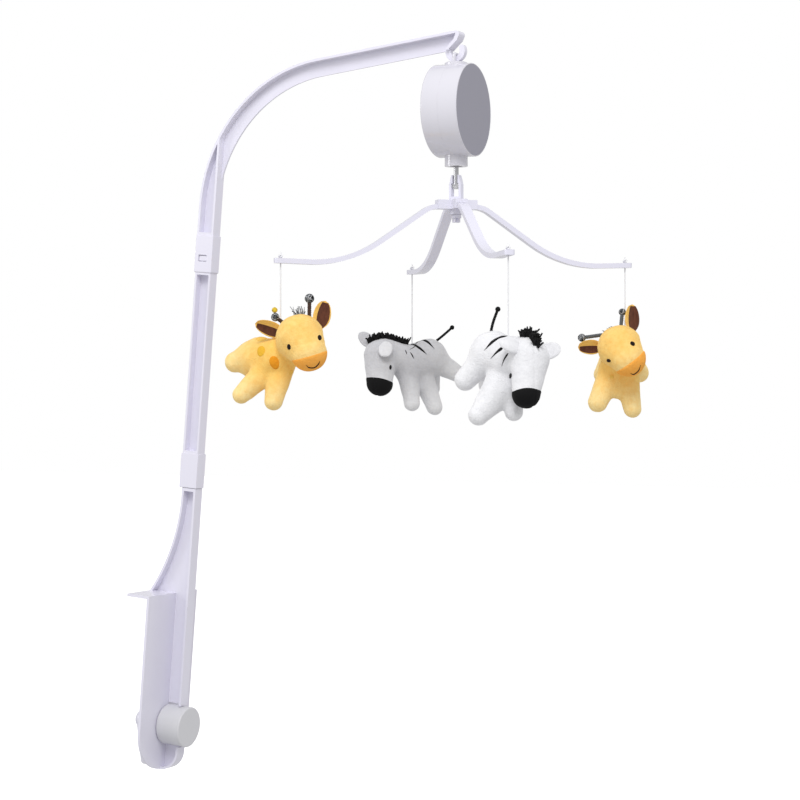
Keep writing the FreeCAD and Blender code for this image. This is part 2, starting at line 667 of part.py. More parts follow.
def movement():
    """Wind-up musical movement: frame, spring barrel, pinned drum, comb and governor."""
    drum_top = MESH_Z - 3.2
    drum_low = drum_top - 17.0
    plate_x = BACK + WALL + 0.3
    # frame: bedplate with two bridges that carry the drum's shaft
    bed = Part.makeBox(2.0, 56.0, 46.0, V(plate_x, -28, drum_low - 6.0))
    bed = bed.common(Part.makeCylinder(CASE_R - WALL - 1.0, 40, V(-20, 0, 0), X_AXIS))
    bridges = []
    for low, high in ((MESH_Z + 4.4, MESH_Z + 7.4), (drum_low - 4.0, drum_low - 1.0)):
        bar = Part.makeBox(6.4, 38.0, high - low, V(-3.0, -19, low))
        for side in (-19.0, 16.0):
            post = Part.makeBox(plate_x * -1 - 2.0 - 3.0 + 0.2, 3.0, high - low, V(plate_x + 1.9, side, low))
            bar = bar.fuse(post)
        hole = Part.makeCylinder(size("shaft_radius") + 0.05, 10, V(0, 0, low - 1))
        bridges.append(bar.cut(hole))
    frame = bed.fuse(bridges)
    arbor_room = Part.makeCylinder(size("arbor_radius") + 0.05, 10, V(plate_x - 2, 0, BARREL_Z), X_AXIS)
    comb_rest = Part.makeBox(10.4, 5.0, 15.0, V(plate_x + 1.9, 21.6, drum_low + 1.0))
    gov_rest = Part.makeBox(-4.55 - plate_x - 1.9, 3.0, 15.0,
                            V(plate_x + 1.9, -(WHEEL_R + FLY_R) - 10.2, drum_low + 1.0))
    frame = frame.fuse([comb_rest, gov_rest]).cut(arbor_room).removeSplitter()
    shape_node("movement_frame", frame, CASE_PLACE)

    # spring barrel with crown teeth, round its arbor
    crown_tip = -PINION_R + 0.6
    crown_root = -PINION_R - 0.95
    barrel_back = plate_x + 2.3
    middle = V(0, 0, BARREL_Z)
    wall = Part.makeCylinder(CROWN_R + 1.8, crown_root - barrel_back, V(barrel_back, 0, 0), X_AXIS)
    hollow = Part.makeCylinder(CROWN_R - 0.2, crown_root - barrel_back - 1.6,
                               V(barrel_back - 0.001, 0, 0), X_AXIS)
    shell = wall.cut(hollow)
    teeth = crown_ring(CROWN_N, CROWN_R, 2.6, crown_root, crown_tip - crown_root, 0.40)
    bore = Part.makeCylinder(size("arbor_radius") + 0.05, 20, V(-15, 0, 0), X_AXIS)
    barrel = shell.fuse(teeth).cut(bore).removeSplitter()
    barrel.translate(middle)
    shape_node("spring_barrel", barrel, CASE_PLACE)

    arbor = Part.makeCylinder(size("arbor_radius"), crown_root - (BACK - 6.6),
                              V(BACK - 6.6, 0, BARREL_Z), X_AXIS)
    shape_node("barrel_arbor", arbor, CASE_PLACE)

    # mainspring: a flat strip wound round the arbor in the barrel
    points = []
    turns = 5.0
    steps = int(turns * 10)
    for index in range(steps + 1):
        part = index / steps
        angle = part * turns * 2 * math.pi
        radius = 2.6 + (CROWN_R - 3.4) * part
        points.append(V(0, radius * math.cos(angle), radius * math.sin(angle)))
    curve = Part.BSplineCurve()
    curve.interpolate(points)
    deep = crown_root - barrel_back - 2.6
    strip = curve.toShape().extrude(V(deep, 0, 0))
    coil = strip.makeOffsetShape(0.35, 0.01, fill=True)
    coil.translate(V(barrel_back + 0.4, 0, BARREL_Z))
    shape_node("mainspring", coil, CASE_PLACE)

    # drum with its pinion and the wheel of the governor, pinned all round
    shaft_r = size("shaft_radius")
    drum_r = size("drum_radius")
    drum = Part.makeCylinder(drum_r, 16.4, V(0, 0, drum_low + 0.3))
    pins = []
    rows = 18
    for index in range(rows * 3):
        angle = math.radians(index * 137.5)
        height = drum_low + 1.2 + (index % rows) * 0.84
        outward = V(math.cos(angle), math.sin(angle), 0)
        pins.append(Part.makeCylinder(0.2, 0.8, outward * (drum_r - 0.3) + V(0, 0, height), outward))
    drum = drum.fuse(pins)
    gear = toothed_disc(PINION_N, PINION_R, 0.6, 0.9, 3.4, 0.42)
    gear.translate(V(0, 0, MESH_Z - 1.7))
    step = Part.makeCylinder(3.2, 2.6, V(0, 0, drum_top - 0.5))
    wheel = toothed_disc(WHEEL_N, WHEEL_R, FINE * 0.8, FINE * 1.1, 1.2, 0.42)
    wheel.translate(V(0, 0, drum_top - 0.8))
    drum = drum.fuse([gear, step, wheel])
    drum = drum.cut(Part.makeCylinder(shaft_r, 60, V(0, 0, -50))).removeSplitter()
    shape_node("pinned_drum", drum, CASE_PLACE)

    # comb: one steel tongue for each note, screwed on its rest
    comb = Part.makeBox(1.2, 6.0, 15.6, V(-1.0, 20.6, drum_low + 0.7))
    tongues = []
    for index in range(rows):
        low = drum_low + 0.92 + index * 0.84
        tongues.append(Part.makeBox(0.8, 14.0, 0.56, V(-1.0, 6.9, low)))
    comb = comb.fuse(tongues).removeSplitter()
    screw_holes = [Part.makeCylinder(0.9, 4, V(-2, 24.0, drum_low + at), X_AXIS) for at in (4.0, 13.0)]
    shape_node("music_comb", comb.cut(screw_holes), CASE_PLACE)
    screws = []
    for at in (4.0, 13.0):
        head = Part.makeCylinder(1.7, 1.0, V(0.22, 24.0, drum_low + at), X_AXIS)
        shank = Part.makeCylinder(0.88, 1.4, V(-1.0, 24.0, drum_low + at), X_AXIS)
        screws.append(head.fuse(shank))
    shape_node("comb_screws", Part.makeCompound(screws), CASE_PLACE)

    # governor: a small pinion and an air brake in a cage
    gov_y = -(WHEEL_R + FLY_R)
    low = drum_low + 1.0
    high = drum_top + 4.0
    cage = Part.makeBox(9.0, 1.6, high - low, V(-4.5, gov_y - 7.4, low))
    for base in (low, high - 1.8):
        cage = cage.fuse(Part.makeBox(9.0, 8.6, 1.8, V(-4.5, gov_y - 6.0, base)))
    cage = cage.fuse(Part.makeBox(3.0, 3.4, 15.0, V(-4.5, gov_y - 10.2, low)))
    pivot = Part.makeCylinder(0.55, high - low - 1.2, V(0, gov_y, low + 0.6))
    shape_node("governor_cage", cage.cut(pivot).removeSplitter(), CASE_PLACE)
    spindle = Part.makeCylinder(0.5, high - low - 1.4, V(0, gov_y, low + 0.7))
    pinion = toothed_disc(FLY_N, FLY_R, FINE * 0.8, FINE * 1.1, 2.4, 0.42)
    pinion.rotate(V(0, 0, 0), Z_AXIS, 180.0 / FLY_N + 90.0)
    pinion.translate(V(0, gov_y, drum_top - 1.4))
    vane = Part.makeBox(5.6, 0.5, 8.0, V(-2.8, gov_y - 0.25, low + 3.4))
    shape_node("governor_fly", spindle.fuse([pinion, vane]).removeSplitter(), CASE_PLACE)


def drive_shaft():
    """Hanging shaft: carries the drum, leaves by the neck and ends in a flat tongue."""
    shaft_r = size("shaft_radius")
    case_z = -size("case_drop")
    top = case_z + MESH_Z + 8.0
    tongue_top = -115.0
    tongue_low = -119.6
    shank = Part.makeCylinder(shaft_r, top - tongue_top + 1.0, V(0, 0, tongue_top - 1.0))
    points = [V(-3.3, -1.5, tongue_top), V(-3.3, -1.5, tongue_low + 1.6), V(-1.6, -1.5, tongue_low),
              V(1.6, -1.5, tongue_low), V(3.3, -1.5, tongue_low + 1.6), V(3.3, -1.5, tongue_top)]
    points.append(points[0])
    tongue = Part.Face(Part.makePolygon(points)).extrude(V(0, 3.0, 0))
    clip_z = -size("neck_drop") + 0.9
    groove = Part.makeCylinder(shaft_r + 2, 0.7, V(0, 0, clip_z)).cut(
        Part.makeCylinder(shaft_r - 0.5, 0.7, V(0, 0, clip_z)))
    shaft = shank.fuse(tongue).cut(groove).removeSplitter()
    shape_node("drive_shaft", shaft, SPIDER_PLACE)
    ring = Part.makeCylinder(shaft_r + 1.1, 0.5, V(0, 0, clip_z + 0.1)).cut(
        Part.makeCylinder(shaft_r - 0.5, 0.5, V(0, 0, clip_z + 0.1)))
    shape_node("shaft_clip", ring, SPIDER_PLACE)
    bush = Part.makeCylinder(shaft_r + 3.4, 7.0, V(0, 0, -size("neck_drop") + 2.0)).cut(
        Part.makeCylinder(shaft_r + 0.05, 7.0, V(0, 0, -size("neck_drop") + 2.0)))
    shape_node("neck_bush", bush, HANG_PLACE)


# ---------------------------------------------------------------- spider
HUB_TOP = -128.3
ROOT_Z = -size("spider_root_drop")
ARM_T = size("spider_arm_thick")
ARM_W = size("spider_arm_wide")
ARM_ANGLES = (45.0, 135.0, 225.0, 315.0)
LOW_Z = ROOT_Z - size("spider_fall")
REACH = size("spider_reach")
TIP_TOP = LOW_Z + 1.0 + ARM_T / 2


def spider_hub():
    """Cross of four sockets with the yoke on top, through which the shaft's tongue passes."""
    blocks = [Part.makeCylinder(6.2, 13.0, V(0, 0, HUB_TOP - 13.4))]
    for angle in ARM_ANGLES:
        block = Part.makeBox(17.6, 11.4, 8.0, V(0, -5.7, HUB_TOP - 9.0))
        hollow = Part.makeBox(12.0, ARM_W + 0.2, ARM_T + 0.2,
                              V(8.0, -ARM_W / 2 - 0.1, ROOT_Z - ARM_T / 2 - 0.1))
        block = block.cut(hollow)
        block.rotate(V(0, 0, 0), Z_AXIS, angle)
        blocks.append(block)
    hub = blocks[0].fuse(blocks[1:])
    low = HUB_TOP - 1.5
    outline = [V(-5.8, 0, low), V(-5.8, 0, -115.6), V(-3.6, 0, -107.6), V(3.6, 0, -107.6),
               V(5.8, 0, -115.6), V(5.8, 0, low)]
    outline.append(outline[0])
    yoke = Part.Face(Part.makePolygon(outline)).extrude(V(0, 5.0, 0))
    yoke.translate(V(0, -2.5, 0))
    window = Part.makeBox(7.2, 8.0, 11.5, V(-3.6, -4.0, -126.2))
    slot = Part.makeBox(5.2, 8.0, 12.0, V(-2.6, -4.0, -117.0))
    hub = hub.fuse(yoke).cut(window).cut(slot)
    screw = Part.makeCylinder(1.6, 9.0, V(0, 0, HUB_TOP - 14.0))
    shape_node("spider_hub", hub.cut(screw).removeSplitter(), SPIDER_PLACE)


def hub_screw():
    """Moulded cross-headed screw under the hub."""
    low = HUB_TOP - 20.4
    head = Part.makeCylinder(4.4, 3.0, V(0, 0, HUB_TOP - 16.6))
    nub = Part.makeBox(7.0, 1.8, 4.0, V(-3.5, -0.9, low)).fuse(
        Part.makeBox(1.8, 7.0, 4.0, V(-0.9, -3.5, low)))
    shank = Part.makeCylinder(1.55, 8.0, V(0, 0, HUB_TOP - 13.8))
    shape_node("hub_screw", head.fuse([nub, shank]).removeSplitter(), SPIDER_PLACE)


def arm_path():
    """Centre line of a spider arm in the XZ plane: out of its socket, down, and level."""
    fall = math.radians(34.6)
    top_r = 23.0
    low_r = 105.0
    start = V(8.2, 0, ROOT_Z)
    first = V(16.0, 0, ROOT_Z)
    centre = first + V(0, 0, -top_r)
    half = centre + V(top_r * math.sin(fall / 2), 0, top_r * math.cos(fall / 2))
    over = centre + V(top_r * math.sin(fall), 0, top_r * math.cos(fall))
    low_start_z = LOW_Z + low_r * (1 - math.cos(fall))
    run = (over.z - low_start_z) / math.sin(fall)
    dive = over + V(run * math.cos(fall), 0, -run * math.sin(fall))
    low_centre = V(dive.x + low_r * math.sin(fall), 0, LOW_Z + low_r)
    bend = low_centre + V(-low_r * math.sin(fall / 2), 0, -low_r * math.cos(fall / 2))
    level = low_centre + V(0, 0, -low_r)
    end = V(REACH + 5.6, 0, LOW_Z + 1.0)
    return [
        Part.LineSegment(start, first).toShape(),
        Part.Arc(first, half, over).toShape(),
        Part.LineSegment(over, dive).toShape(),
        Part.Arc(dive, bend, level).toShape(),
        Part.LineSegment(level, end).toShape(),
    ]


def spider_arms():
    """Four bent strips, each with a string hole near its tip."""
    wire = Part.Wire(arm_path())
    corners = [V(8.2, -ARM_W / 2, ROOT_Z - ARM_T / 2), V(8.2, ARM_W / 2, ROOT_Z - ARM_T / 2),
               V(8.2, ARM_W / 2, ROOT_Z + ARM_T / 2), V(8.2, -ARM_W / 2, ROOT_Z + ARM_T / 2)]
    corners.append(corners[0])
    strip = wire.makePipeShell([Part.makePolygon(corners)], True, False)
    hole = Part.makeCylinder(0.9, 20.0, V(REACH, 0, LOW_Z - 10.0))
    flare = Part.makeCone(2.9, 0.9, ARM_T + 1.0, V(REACH, 0, TIP_TOP - ARM_T - 1.4))
    hole = hole.fuse(flare)
    strip = strip.cut(hole)
    ends = [edge for edge in strip.Edges if edge.BoundBox.XMin > REACH + 4.0 and edge.BoundBox.ZLength > 3.0]
    strip = strip.makeFillet(2.6, ends)
    for index, angle in enumerate(ARM_ANGLES, start=1):
        arm = strip.copy()
        arm.rotate(V(0, 0, 0), Z_AXIS, angle)
        shape_node("spider_arm_%d" % index, arm, SPIDER_PLACE)


def limb(start, end, radius, end_radius):
    """Round-ended taper between two points."""
    a = V(*start)
    b = V(*end)
    if abs(end_radius - radius) < 1e-6:
        tube = Part.makeCylinder(radius, (b - a).Length, a, b - a)
    else:
        tube = Part.makeCone(radius, end_radius, (b - a).Length, a, b - a)
    return tube.fuse([Part.makeSphere(radius, a), Part.makeSphere(end_radius, b)])


# ---------------------------------------------------------------- strings and toys
# Each toy is drawn with its string at the origin: x to the right of the front view, y away from
# it, z up.  A limb is (start, end, start radius, end radius).
TOY_YAW = 28.0
TOYS = {
    "giraffe_left": {
        "arm": 3,
        "skin": (
            ((4, -8, -17), (-22, 14, -17.5), 17.5, 17),
            ((4, -8, -17), (18, -22, -8), 15.5, 15),
            ((18, -24, -1), (27, -32, -13), 20.8, 15.4),
            ((2, -21, 5), (-15, -19, 10), 6, 4.6),
            ((32, -20, 12), (40, -18, 25.5), 6, 5),
            ((-18, 10, -11), (-36.5, 15, -17.5), 13, 10.8),
            ((-10, 24, -18), (-14, 40, -30), 11.5, 9.5),
            ((-10, -4, -24), (-30.5, -10, -47), 11.5, 9.2),
            ((2, -8, -26), (-3, -14, -52), 11.5, 9.6),
        ),
        "tail": ((-26, 26, -12), (-29, 38, -26), 1.5, 2.4),
        "crest": (((25, -24, 17), (25.5, -24, 33), 1.7, 4.1), ((4.5, -20.5, 13), (-3.3, -21, 19), 1.6, 3.6)),
    },
    "zebra_far": {
        "arm": 2,
        "skin": (
            ((0, 0, -17.5), (17.5, 4, -10.5), 17.5, 17),
            ((-4, -4, -14), (-22, -12, -8), 13.5, 14),
            ((-28, -16, -10), (-27.5, -24, -37.6), 15.6, 11.8),
            ((-35, -14, 1), (-44, -12, 7), 5.5, 5),
            ((-20, -22, -1), (-23.3, -31, -5), 6, 6.4),
            ((-2, -7, -28), (1.6, -14, -54), 10.2, 7.4),
            ((10.5, 2, -26), (20, -2, -58.5), 11, 7.8),
            ((26, 6, -16), (44, 10, -26), 11, 8),
            ((18, 16, -22), (20, 27, -40), 10.5, 8),
        ),
        "tail": ((25, 6, 5), (39.4, 8, 17.2), 1.3, 2.8),
        "crest": (((-38, -12, 4), (-25, -13, 7), 4, 4.6), ((-25, -13, 7), (-8, -7, 2), 4.6, 3)),
    },
    "zebra_near": {
        "arm": 4,
        "skin": (
            ((4, -6, -20), (-12, 12, -13), 18, 18.5),
            ((2, -6, -16), (14, -18, -14), 15, 15),
            ((16, -22, -16), (14.4, -32, -46), 16.6, 11.5),
            ((6, -29, -6), (-1, -34, -9), 6, 5),
            ((27, -20, -12), (36.4, -20, -7), 7, 6.4),
            ((-19, 10, -18), (-34, 12, -34), 12, 8.6),
            ((-6, -6, -30), (-23.6, -14, -61.5), 12, 7.8),
            ((2, -8, -32), (4, -12, -59.5), 10.5, 7.2),
            ((-8, 20, -20), (-14, 30, -38), 11, 8.4),
        ),
        "tail": ((-13.5, 14, 3), (-7.5, 16, 23), 1.3, 2.8),
        "crest": (((11, -22, -2), (22, -30, -4), 5.4, 6.2), ((11, -22, -2), (6, -12, -3), 5.4, 3.4)),
    },
    "giraffe_right": {
        "arm": 1,
        "skin": (
            ((-3, -6, -17.5), (-2, 24, -17), 17.3, 17),
            ((-3, -8, -17), (-4, -18, -10), 15.5, 15),
            ((-5.5, -24, -7), (2, -31, -17.6), 20.3, 15.8),
            ((3, -19, 11), (6.5, -17, 26.5), 6, 5.2),
            ((-23, -19, -9.4), (-38, -17, -8.6), 6, 4.8),
            ((-12, -4, -28), (-25, -10, -55), 12, 8.6),
            ((0, -4, -28), (6.5, -10, -61), 12, 7.9),
            ((9, 26, -20), (17, 37, -29), 11, 8.4),
            ((-10, 26, -20), (-16, 37, -30), 11, 8.4),
        ),
        "tail": ((-2, 38, -12), (-2, 49, -20), 1.5, 2.4),
        "crest": (((-4, -18, 11), (-3.6, -12.5, 25.7), 1.7, 3.4), ((-21, -20, 4), (-38, -17, 2.6), 1.7, 3.6)),
    },
}
STRING_LOW = -size("string_bottom_drop")
STRING_SUNK = 3.0


def tip_place(number):
    """Place whose origin is plumb under the string hole of a spider arm, at the hook's height."""
    angle = math.radians(ARM_ANGLES[number - 1] + size("spider_turn"))
    return App.Placement(HOOK + V(REACH * math.cos(angle), REACH * math.sin(angle), 0), App.Rotation())


def string_and_knot(name, number):
    """Thread from the toy's back up through the arm's tip, and the knot that stops it."""
    place = tip_place(number)
    radius = size("string_radius")
    low = STRING_LOW - STRING_SUNK
    thread = rod(name + "_string", "string_radius", str(TIP_TOP - 0.6 - low), V(0, 0, low))
    keep(thread, name + "_string", place)
    knot = Part.makeSphere(1.9, V(0, 0, TIP_TOP + 1.85))
    stub = Part.makeCylinder(radius, 1.6, V(0, 0, TIP_TOP - 0.5))
    tail = limb((0.4, 0.6, TIP_TOP + 2.6), (-1.6, 3.4, TIP_TOP + 5.4), radius, radius)
    shape_node(name + "_knot", knot.fuse([stub, tail]).removeSplitter(), place)


def tuft(cloth, start, end, radius, end_radius):
    """What stands out of the cloth: a thin cord with a ball at its end, or a thick taper."""
    if radius > 2.0:
        return limb(start, end, radius, end_radius).cut(cloth)
    a = V(*start)
    b = V(*end)
    stem = Part.makeCylinder(radius, (b - a).Length, a, b - a).cut(cloth)
    return stem.fuse(Part.makeSphere(end_radius, b, (b - a).cross(X_AXIS)))


def toy(name, arm, skin, tail, crest):
    """Plush animal: torso, neck, head, ears and legs in one skin; tail and crest apart."""
    place = tip_place(arm).multiply(App.Placement(V(0, 0, STRING_LOW), App.Rotation(Z_AXIS, TOY_YAW)))
    pieces = [limb(*piece) for piece in skin]
    cloth = pieces[0].fuse(pieces[1:]).removeSplitter()
    hole = Part.makeCylinder(size("string_radius") + 0.1, STRING_SUNK + 5.0, V(0, 0, -STRING_SUNK - 1.0))
    cloth = cloth.cut(hole)
    shape_node(name + "_body", cloth, place)
    shape_node(name + "_tail", tuft(cloth, *tail), place)
    label = name + ("_horns" if name.startswith("giraffe") else "_mane")
    first, second = [tuft(cloth, *piece) for piece in crest]
    shape_node(label, first.fuse(second), place)
    middle = cloth.Solids[0].CenterOfMass
    print(name, "balance point from its string", [round(c, 1) for c in middle])


# ---------------------------------------------------------------- build and write
lower_arm()
middle_arm()
upper_arm()
clamp()
case_shells()
hanger_eye()
winding_key()
movement()
drive_shaft()
spider_hub()
hub_screw()
spider_arms()
for toy_name, toy_parts in TOYS.items():
    string_and_knot(toy_name, toy_parts["arm"])
    toy(toy_name, toy_parts["arm"], toy_parts["skin"], toy_parts["tail"], toy_parts["crest"])
doc.recompute()

faults = []
for item in doc.Objects:
    if "Invalid" in item.State or "Error" in item.State:
        faults.append("%s is %s" % (item.Label, item.State))
for item in nodes:
    if item.Shape.isNull() or not item.Shape.isValid():
        faults.append("%s has no valid shape" % item.Label)
    elif item.Shape.Volume <= 0:
        faults.append("%s has no volume" % item.Label)
if faults:
    raise SystemExit("\n".join(faults))

os.makedirs("parts", exist_ok=True)
for item in nodes:
    item.Shape.exportStep("parts/%s.step" % item.Label)
print("wrote", len(nodes), "parts; hook at", [round(c, 2) for c in HOOK])
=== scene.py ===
"""Looks of the crib mobile: moulded plastic on the CAD parts, plush animals with yarn details.

Row frame, metres.  Each toy is drawn in its own frame, in millimetres: the origin 3 mm above its
string's lower end, x to the right of the front view, y away from it, z up.
"""
import math
import random

import bmesh
import bpy
import numpy as np
from mathutils import Matrix, Vector, noise
from mathutils.bvhtree import BVHTree


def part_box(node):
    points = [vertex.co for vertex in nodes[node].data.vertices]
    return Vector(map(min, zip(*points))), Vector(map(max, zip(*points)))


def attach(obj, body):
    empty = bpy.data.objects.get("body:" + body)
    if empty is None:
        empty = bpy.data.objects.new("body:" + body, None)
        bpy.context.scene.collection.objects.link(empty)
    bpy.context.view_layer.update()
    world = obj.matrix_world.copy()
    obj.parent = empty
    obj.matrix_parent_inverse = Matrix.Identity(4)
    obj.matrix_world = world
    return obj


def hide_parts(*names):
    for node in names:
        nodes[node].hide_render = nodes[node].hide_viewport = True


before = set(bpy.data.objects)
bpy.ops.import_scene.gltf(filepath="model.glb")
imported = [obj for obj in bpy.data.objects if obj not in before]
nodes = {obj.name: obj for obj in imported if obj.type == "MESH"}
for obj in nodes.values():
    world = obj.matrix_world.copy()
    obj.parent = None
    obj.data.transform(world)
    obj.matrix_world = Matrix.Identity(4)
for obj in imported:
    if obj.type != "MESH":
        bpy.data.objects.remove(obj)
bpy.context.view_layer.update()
scene = bpy.context.scene

MM = 0.001
CAMERA_PLACE = (1.1364, -1.6649, 0.1961)
CAMERA_LENS = 96.4
CAMERA_SHIFT = -0.02
VIEW_YAW = math.radians(28)     # the camera looks this way, and so do the toys' front views
HOOK_X, HOOK_Z = 0.30646, 0.48492
SPIDER_REACH = 0.155            # from the shaft to each string
STRING_TOP = HOOK_Z - 0.1823
STRING_LOW = HOOK_Z - 0.2530
STRING_WIDTH = 0.0012
TOY_ORIGIN_Z = HOOK_Z - 0.250
FLOOR_Z = -0.30
FLOOR_HALF = 8
FLOOR_GLOW = 0.62
WORLD_LIGHT = 0.67
LIGHT_AIM = (0.2, 0, 0.2)
WELD_GAP = 0.00001
EDGE_ANGLE = math.radians(50)   # sharper edges than this are rounded

# the toys' own numbers are millimetres
HEAD = 2                        # the head's place among a toy's limbs
VOXEL = 1.05
RELAX_PASSES = 6
LUMP_DEPTH, LUMP_WIDTH = 0.45, 9.0
RIPPLE_DEPTH, RIPPLE_WIDTH = 0.10, 1.9
SEAM_DEPTH, SEAM_WIDTH, SEAM_BAND = 0.5, 0.75, 1.2
PALE_FROM, PALE_OVER = 18, 24   # the colour turns pale this far from the middle of body or head; on the far zebra the darker middle is painted shade
HEAD_PALE_SOONER = 4
PATCH_GAP, PATCH_HEM, PATCH_THICKNESS = 0.08, 1.2, 0.5


# ---------------------------------------------------------------- camera and strings
def add_camera():
    data = bpy.data.cameras.new("camera")
    data.lens = CAMERA_LENS
    data.sensor_width = 36
    data.shift_y = CAMERA_SHIFT
    data.clip_end = 30
    camera = bpy.data.objects.new("camera", data)
    camera.location = CAMERA_PLACE
    camera.rotation_euler = (math.radians(90), 0, VIEW_YAW)
    scene.collection.objects.link(camera)
    scene.camera = camera


def tip(angle):
    """Where a string hangs, seen from above."""
    turn = math.radians(angle)
    return HOOK_X + SPIDER_REACH * math.cos(turn), SPIDER_REACH * math.sin(turn)


def add_string(toy, angle, drop):
    """The string of one toy, which hangs drop millimetres below its CAD solid."""
    x, y = tip(angle)
    low = STRING_LOW - drop * MM
    curve = bpy.data.curves.new(toy + "_string_line", "CURVE")
    curve.dimensions = "3D"
    curve.bevel_depth = STRING_WIDTH / 2
    curve.bevel_resolution = 4
    curve.resolution_u = 8
    curve.use_fill_caps = True
    spline = curve.splines.new("NURBS")
    spline.points.add(2)
    middle = (STRING_TOP + low) / 2
    for point, z in zip(spline.points, (STRING_TOP, middle, low)):
        point.co = (x, y, z, 1)
    spline.order_u = 3
    spline.use_endpoint_u = True
    piece = bpy.data.objects.new(toy + "_string_thread", curve)
    scene.collection.objects.link(piece)
    curve.materials.append(cotton)
    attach(piece, toy + "_cord")
    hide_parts(toy + "_string")


# ---------------------------------------------------------------- materials
def new_material(name, roughness):
    material = bpy.data.materials.new(name)
    material.use_nodes = True
    tree = material.node_tree
    shader = tree.nodes["Principled BSDF"]
    shader.inputs["Roughness"].default_value = roughness
    return material, tree, shader


def link_noise(tree, scale, detail=4.0, squeeze=(1, 1, 1)):
    """Noise in the object's own coordinates, which don't slide with the camera."""
    place = tree.nodes.new("ShaderNodeTexCoord")
    spread = tree.nodes.new("ShaderNodeMapping")
    spread.inputs["Scale"].default_value = squeeze
    texture = tree.nodes.new("ShaderNodeTexNoise")
    texture.inputs["Scale"].default_value = scale
    texture.inputs["Detail"].default_value = detail
    tree.links.new(place.outputs["Object"], spread.inputs["Vector"])
    tree.links.new(spread.outputs["Vector"], texture.inputs["Vector"])
    return texture


def link_bump(tree, shader, texture, strength, distance):
    bump = tree.nodes.new("ShaderNodeBump")
    bump.inputs["Strength"].default_value = strength
    bump.inputs["Distance"].default_value = distance
    tree.links.new(texture.outputs["Fac"], bump.inputs["Height"])
    tree.links.new(bump.outputs["Normal"], shader.inputs["Normal"])


def link_tint(tree, shader, driver, low, high, start=0.3, stop=0.7):
    """Colour between two shades, led by a texture's or attribute's value."""
    ramp = tree.nodes.new("ShaderNodeValToRGB")
    ramp.color_ramp.elements[0].position = start
    ramp.color_ramp.elements[0].color = (*low, 1)
    ramp.color_ramp.elements[1].position = stop
    ramp.color_ramp.elements[1].color = (*high, 1)
    tree.links.new(driver, ramp.inputs["Fac"])
    tree.links.new(ramp.outputs["Color"], shader.inputs["Base Color"])
    return ramp


def plastic(name, colour, roughness=0.24, coat=0.35, grain=0.05):
    """Moulded plastic: flow marks in its shade and gloss, and a faint orange-peel surface."""
    material, tree, shader = new_material(name, roughness)
    flow = link_noise(tree, 18, 3, (1, 1, 0.35))
    link_tint(tree, shader, flow.outputs["Fac"], [c * 0.965 for c in colour], colour)
    spread = tree.nodes.new("ShaderNodeMapRange")
    spread.inputs["To Min"].default_value = roughness * 0.8
    spread.inputs["To Max"].default_value = roughness * 1.3
    tree.links.new(flow.outputs["Fac"], spread.inputs["Value"])
    tree.links.new(spread.outputs["Result"], shader.inputs["Roughness"])
    shader.inputs["Coat Weight"].default_value = coat
    shader.inputs["Coat Roughness"].default_value = 0.12
    link_bump(tree, shader, link_noise(tree, 260, 1), grain, 0.0002)
    return material


def metal(name, colour, roughness):
    """Turned or rolled metal with fine scratches and duller patches."""
    material, tree, shader = new_material(name, roughness)
    patches = link_noise(tree, 60, 5)
    link_tint(tree, shader, patches.outputs["Fac"], [c * 0.75 for c in colour], colour)
    shader.inputs["Metallic"].default_value = 1.0
    link_bump(tree, shader, link_noise(tree, 1400, 3, (1, 1, 12)), 0.15, 0.0001)
    return material


def plush(name, deep, pale, sheen=0.6, worn=(0.86, 0.86, 0.87)):
    """Short pile: darker in the middle of body and head and paler towards the ends, lighter where
    the pile turns over; on the far zebra's grey plush the darker middle is painted shade.
    """
    material, tree, shader = new_material(name, 0.92)
    tone = tree.nodes.new("ShaderNodeAttribute")
    tone.attribute_name = "tone"
    # darker in the middle, paler at the ends; on the far zebra's grey plush this is painted shade
    ramp = link_tint(tree, shader, tone.outputs["Fac"], deep, pale, 0.0, 1.0)
    nap = link_noise(tree, 240, 6)
    mottle = tree.nodes.new("ShaderNodeMix")
    mottle.data_type = "RGBA"
    mottle.blend_type = "MULTIPLY"
    mottle.inputs["Factor"].default_value = 0.5
    shade = tree.nodes.new("ShaderNodeValToRGB")
    shade.color_ramp.elements[0].position = 0.3
    shade.color_ramp.elements[0].color = (*worn, 1)
    shade.color_ramp.elements[1].position = 0.65
    tree.links.new(nap.outputs["Fac"], shade.inputs["Fac"])
    tree.links.new(ramp.outputs["Color"], mottle.inputs["A"])
    tree.links.new(shade.outputs["Color"], mottle.inputs["B"])
    tree.links.new(mottle.outputs["Result"], shader.inputs["Base Color"])
    shader.inputs["Specular IOR Level"].default_value = 0.15
    shader.inputs["Sheen Weight"].default_value = sheen
    shader.inputs["Sheen Roughness"].default_value = 0.45
    shader.inputs["Sheen Tint"].default_value = (*pale, 1)
    link_bump(tree, shader, link_noise(tree, 760, 7), 0.8, 0.0009)
    return material


def yarn(name, colour, scale=900, strength=0.5, sheen=0.25, depth=0.6):
    """Spun thread, felt or embroidery, with its fibres as fine streaks."""
    material, tree, shader = new_material(name, 0.85)
    fibres = link_noise(tree, scale, 5, (1, 1, 0.4))
    link_tint(tree, shader, fibres.outputs["Fac"], [c * depth for c in colour], colour)
    shader.inputs["Specular IOR Level"].default_value = 0.2
    shader.inputs["Sheen Weight"].default_value = sheen
    link_bump(tree, shader, fibres, strength, 0.0002)
    return material


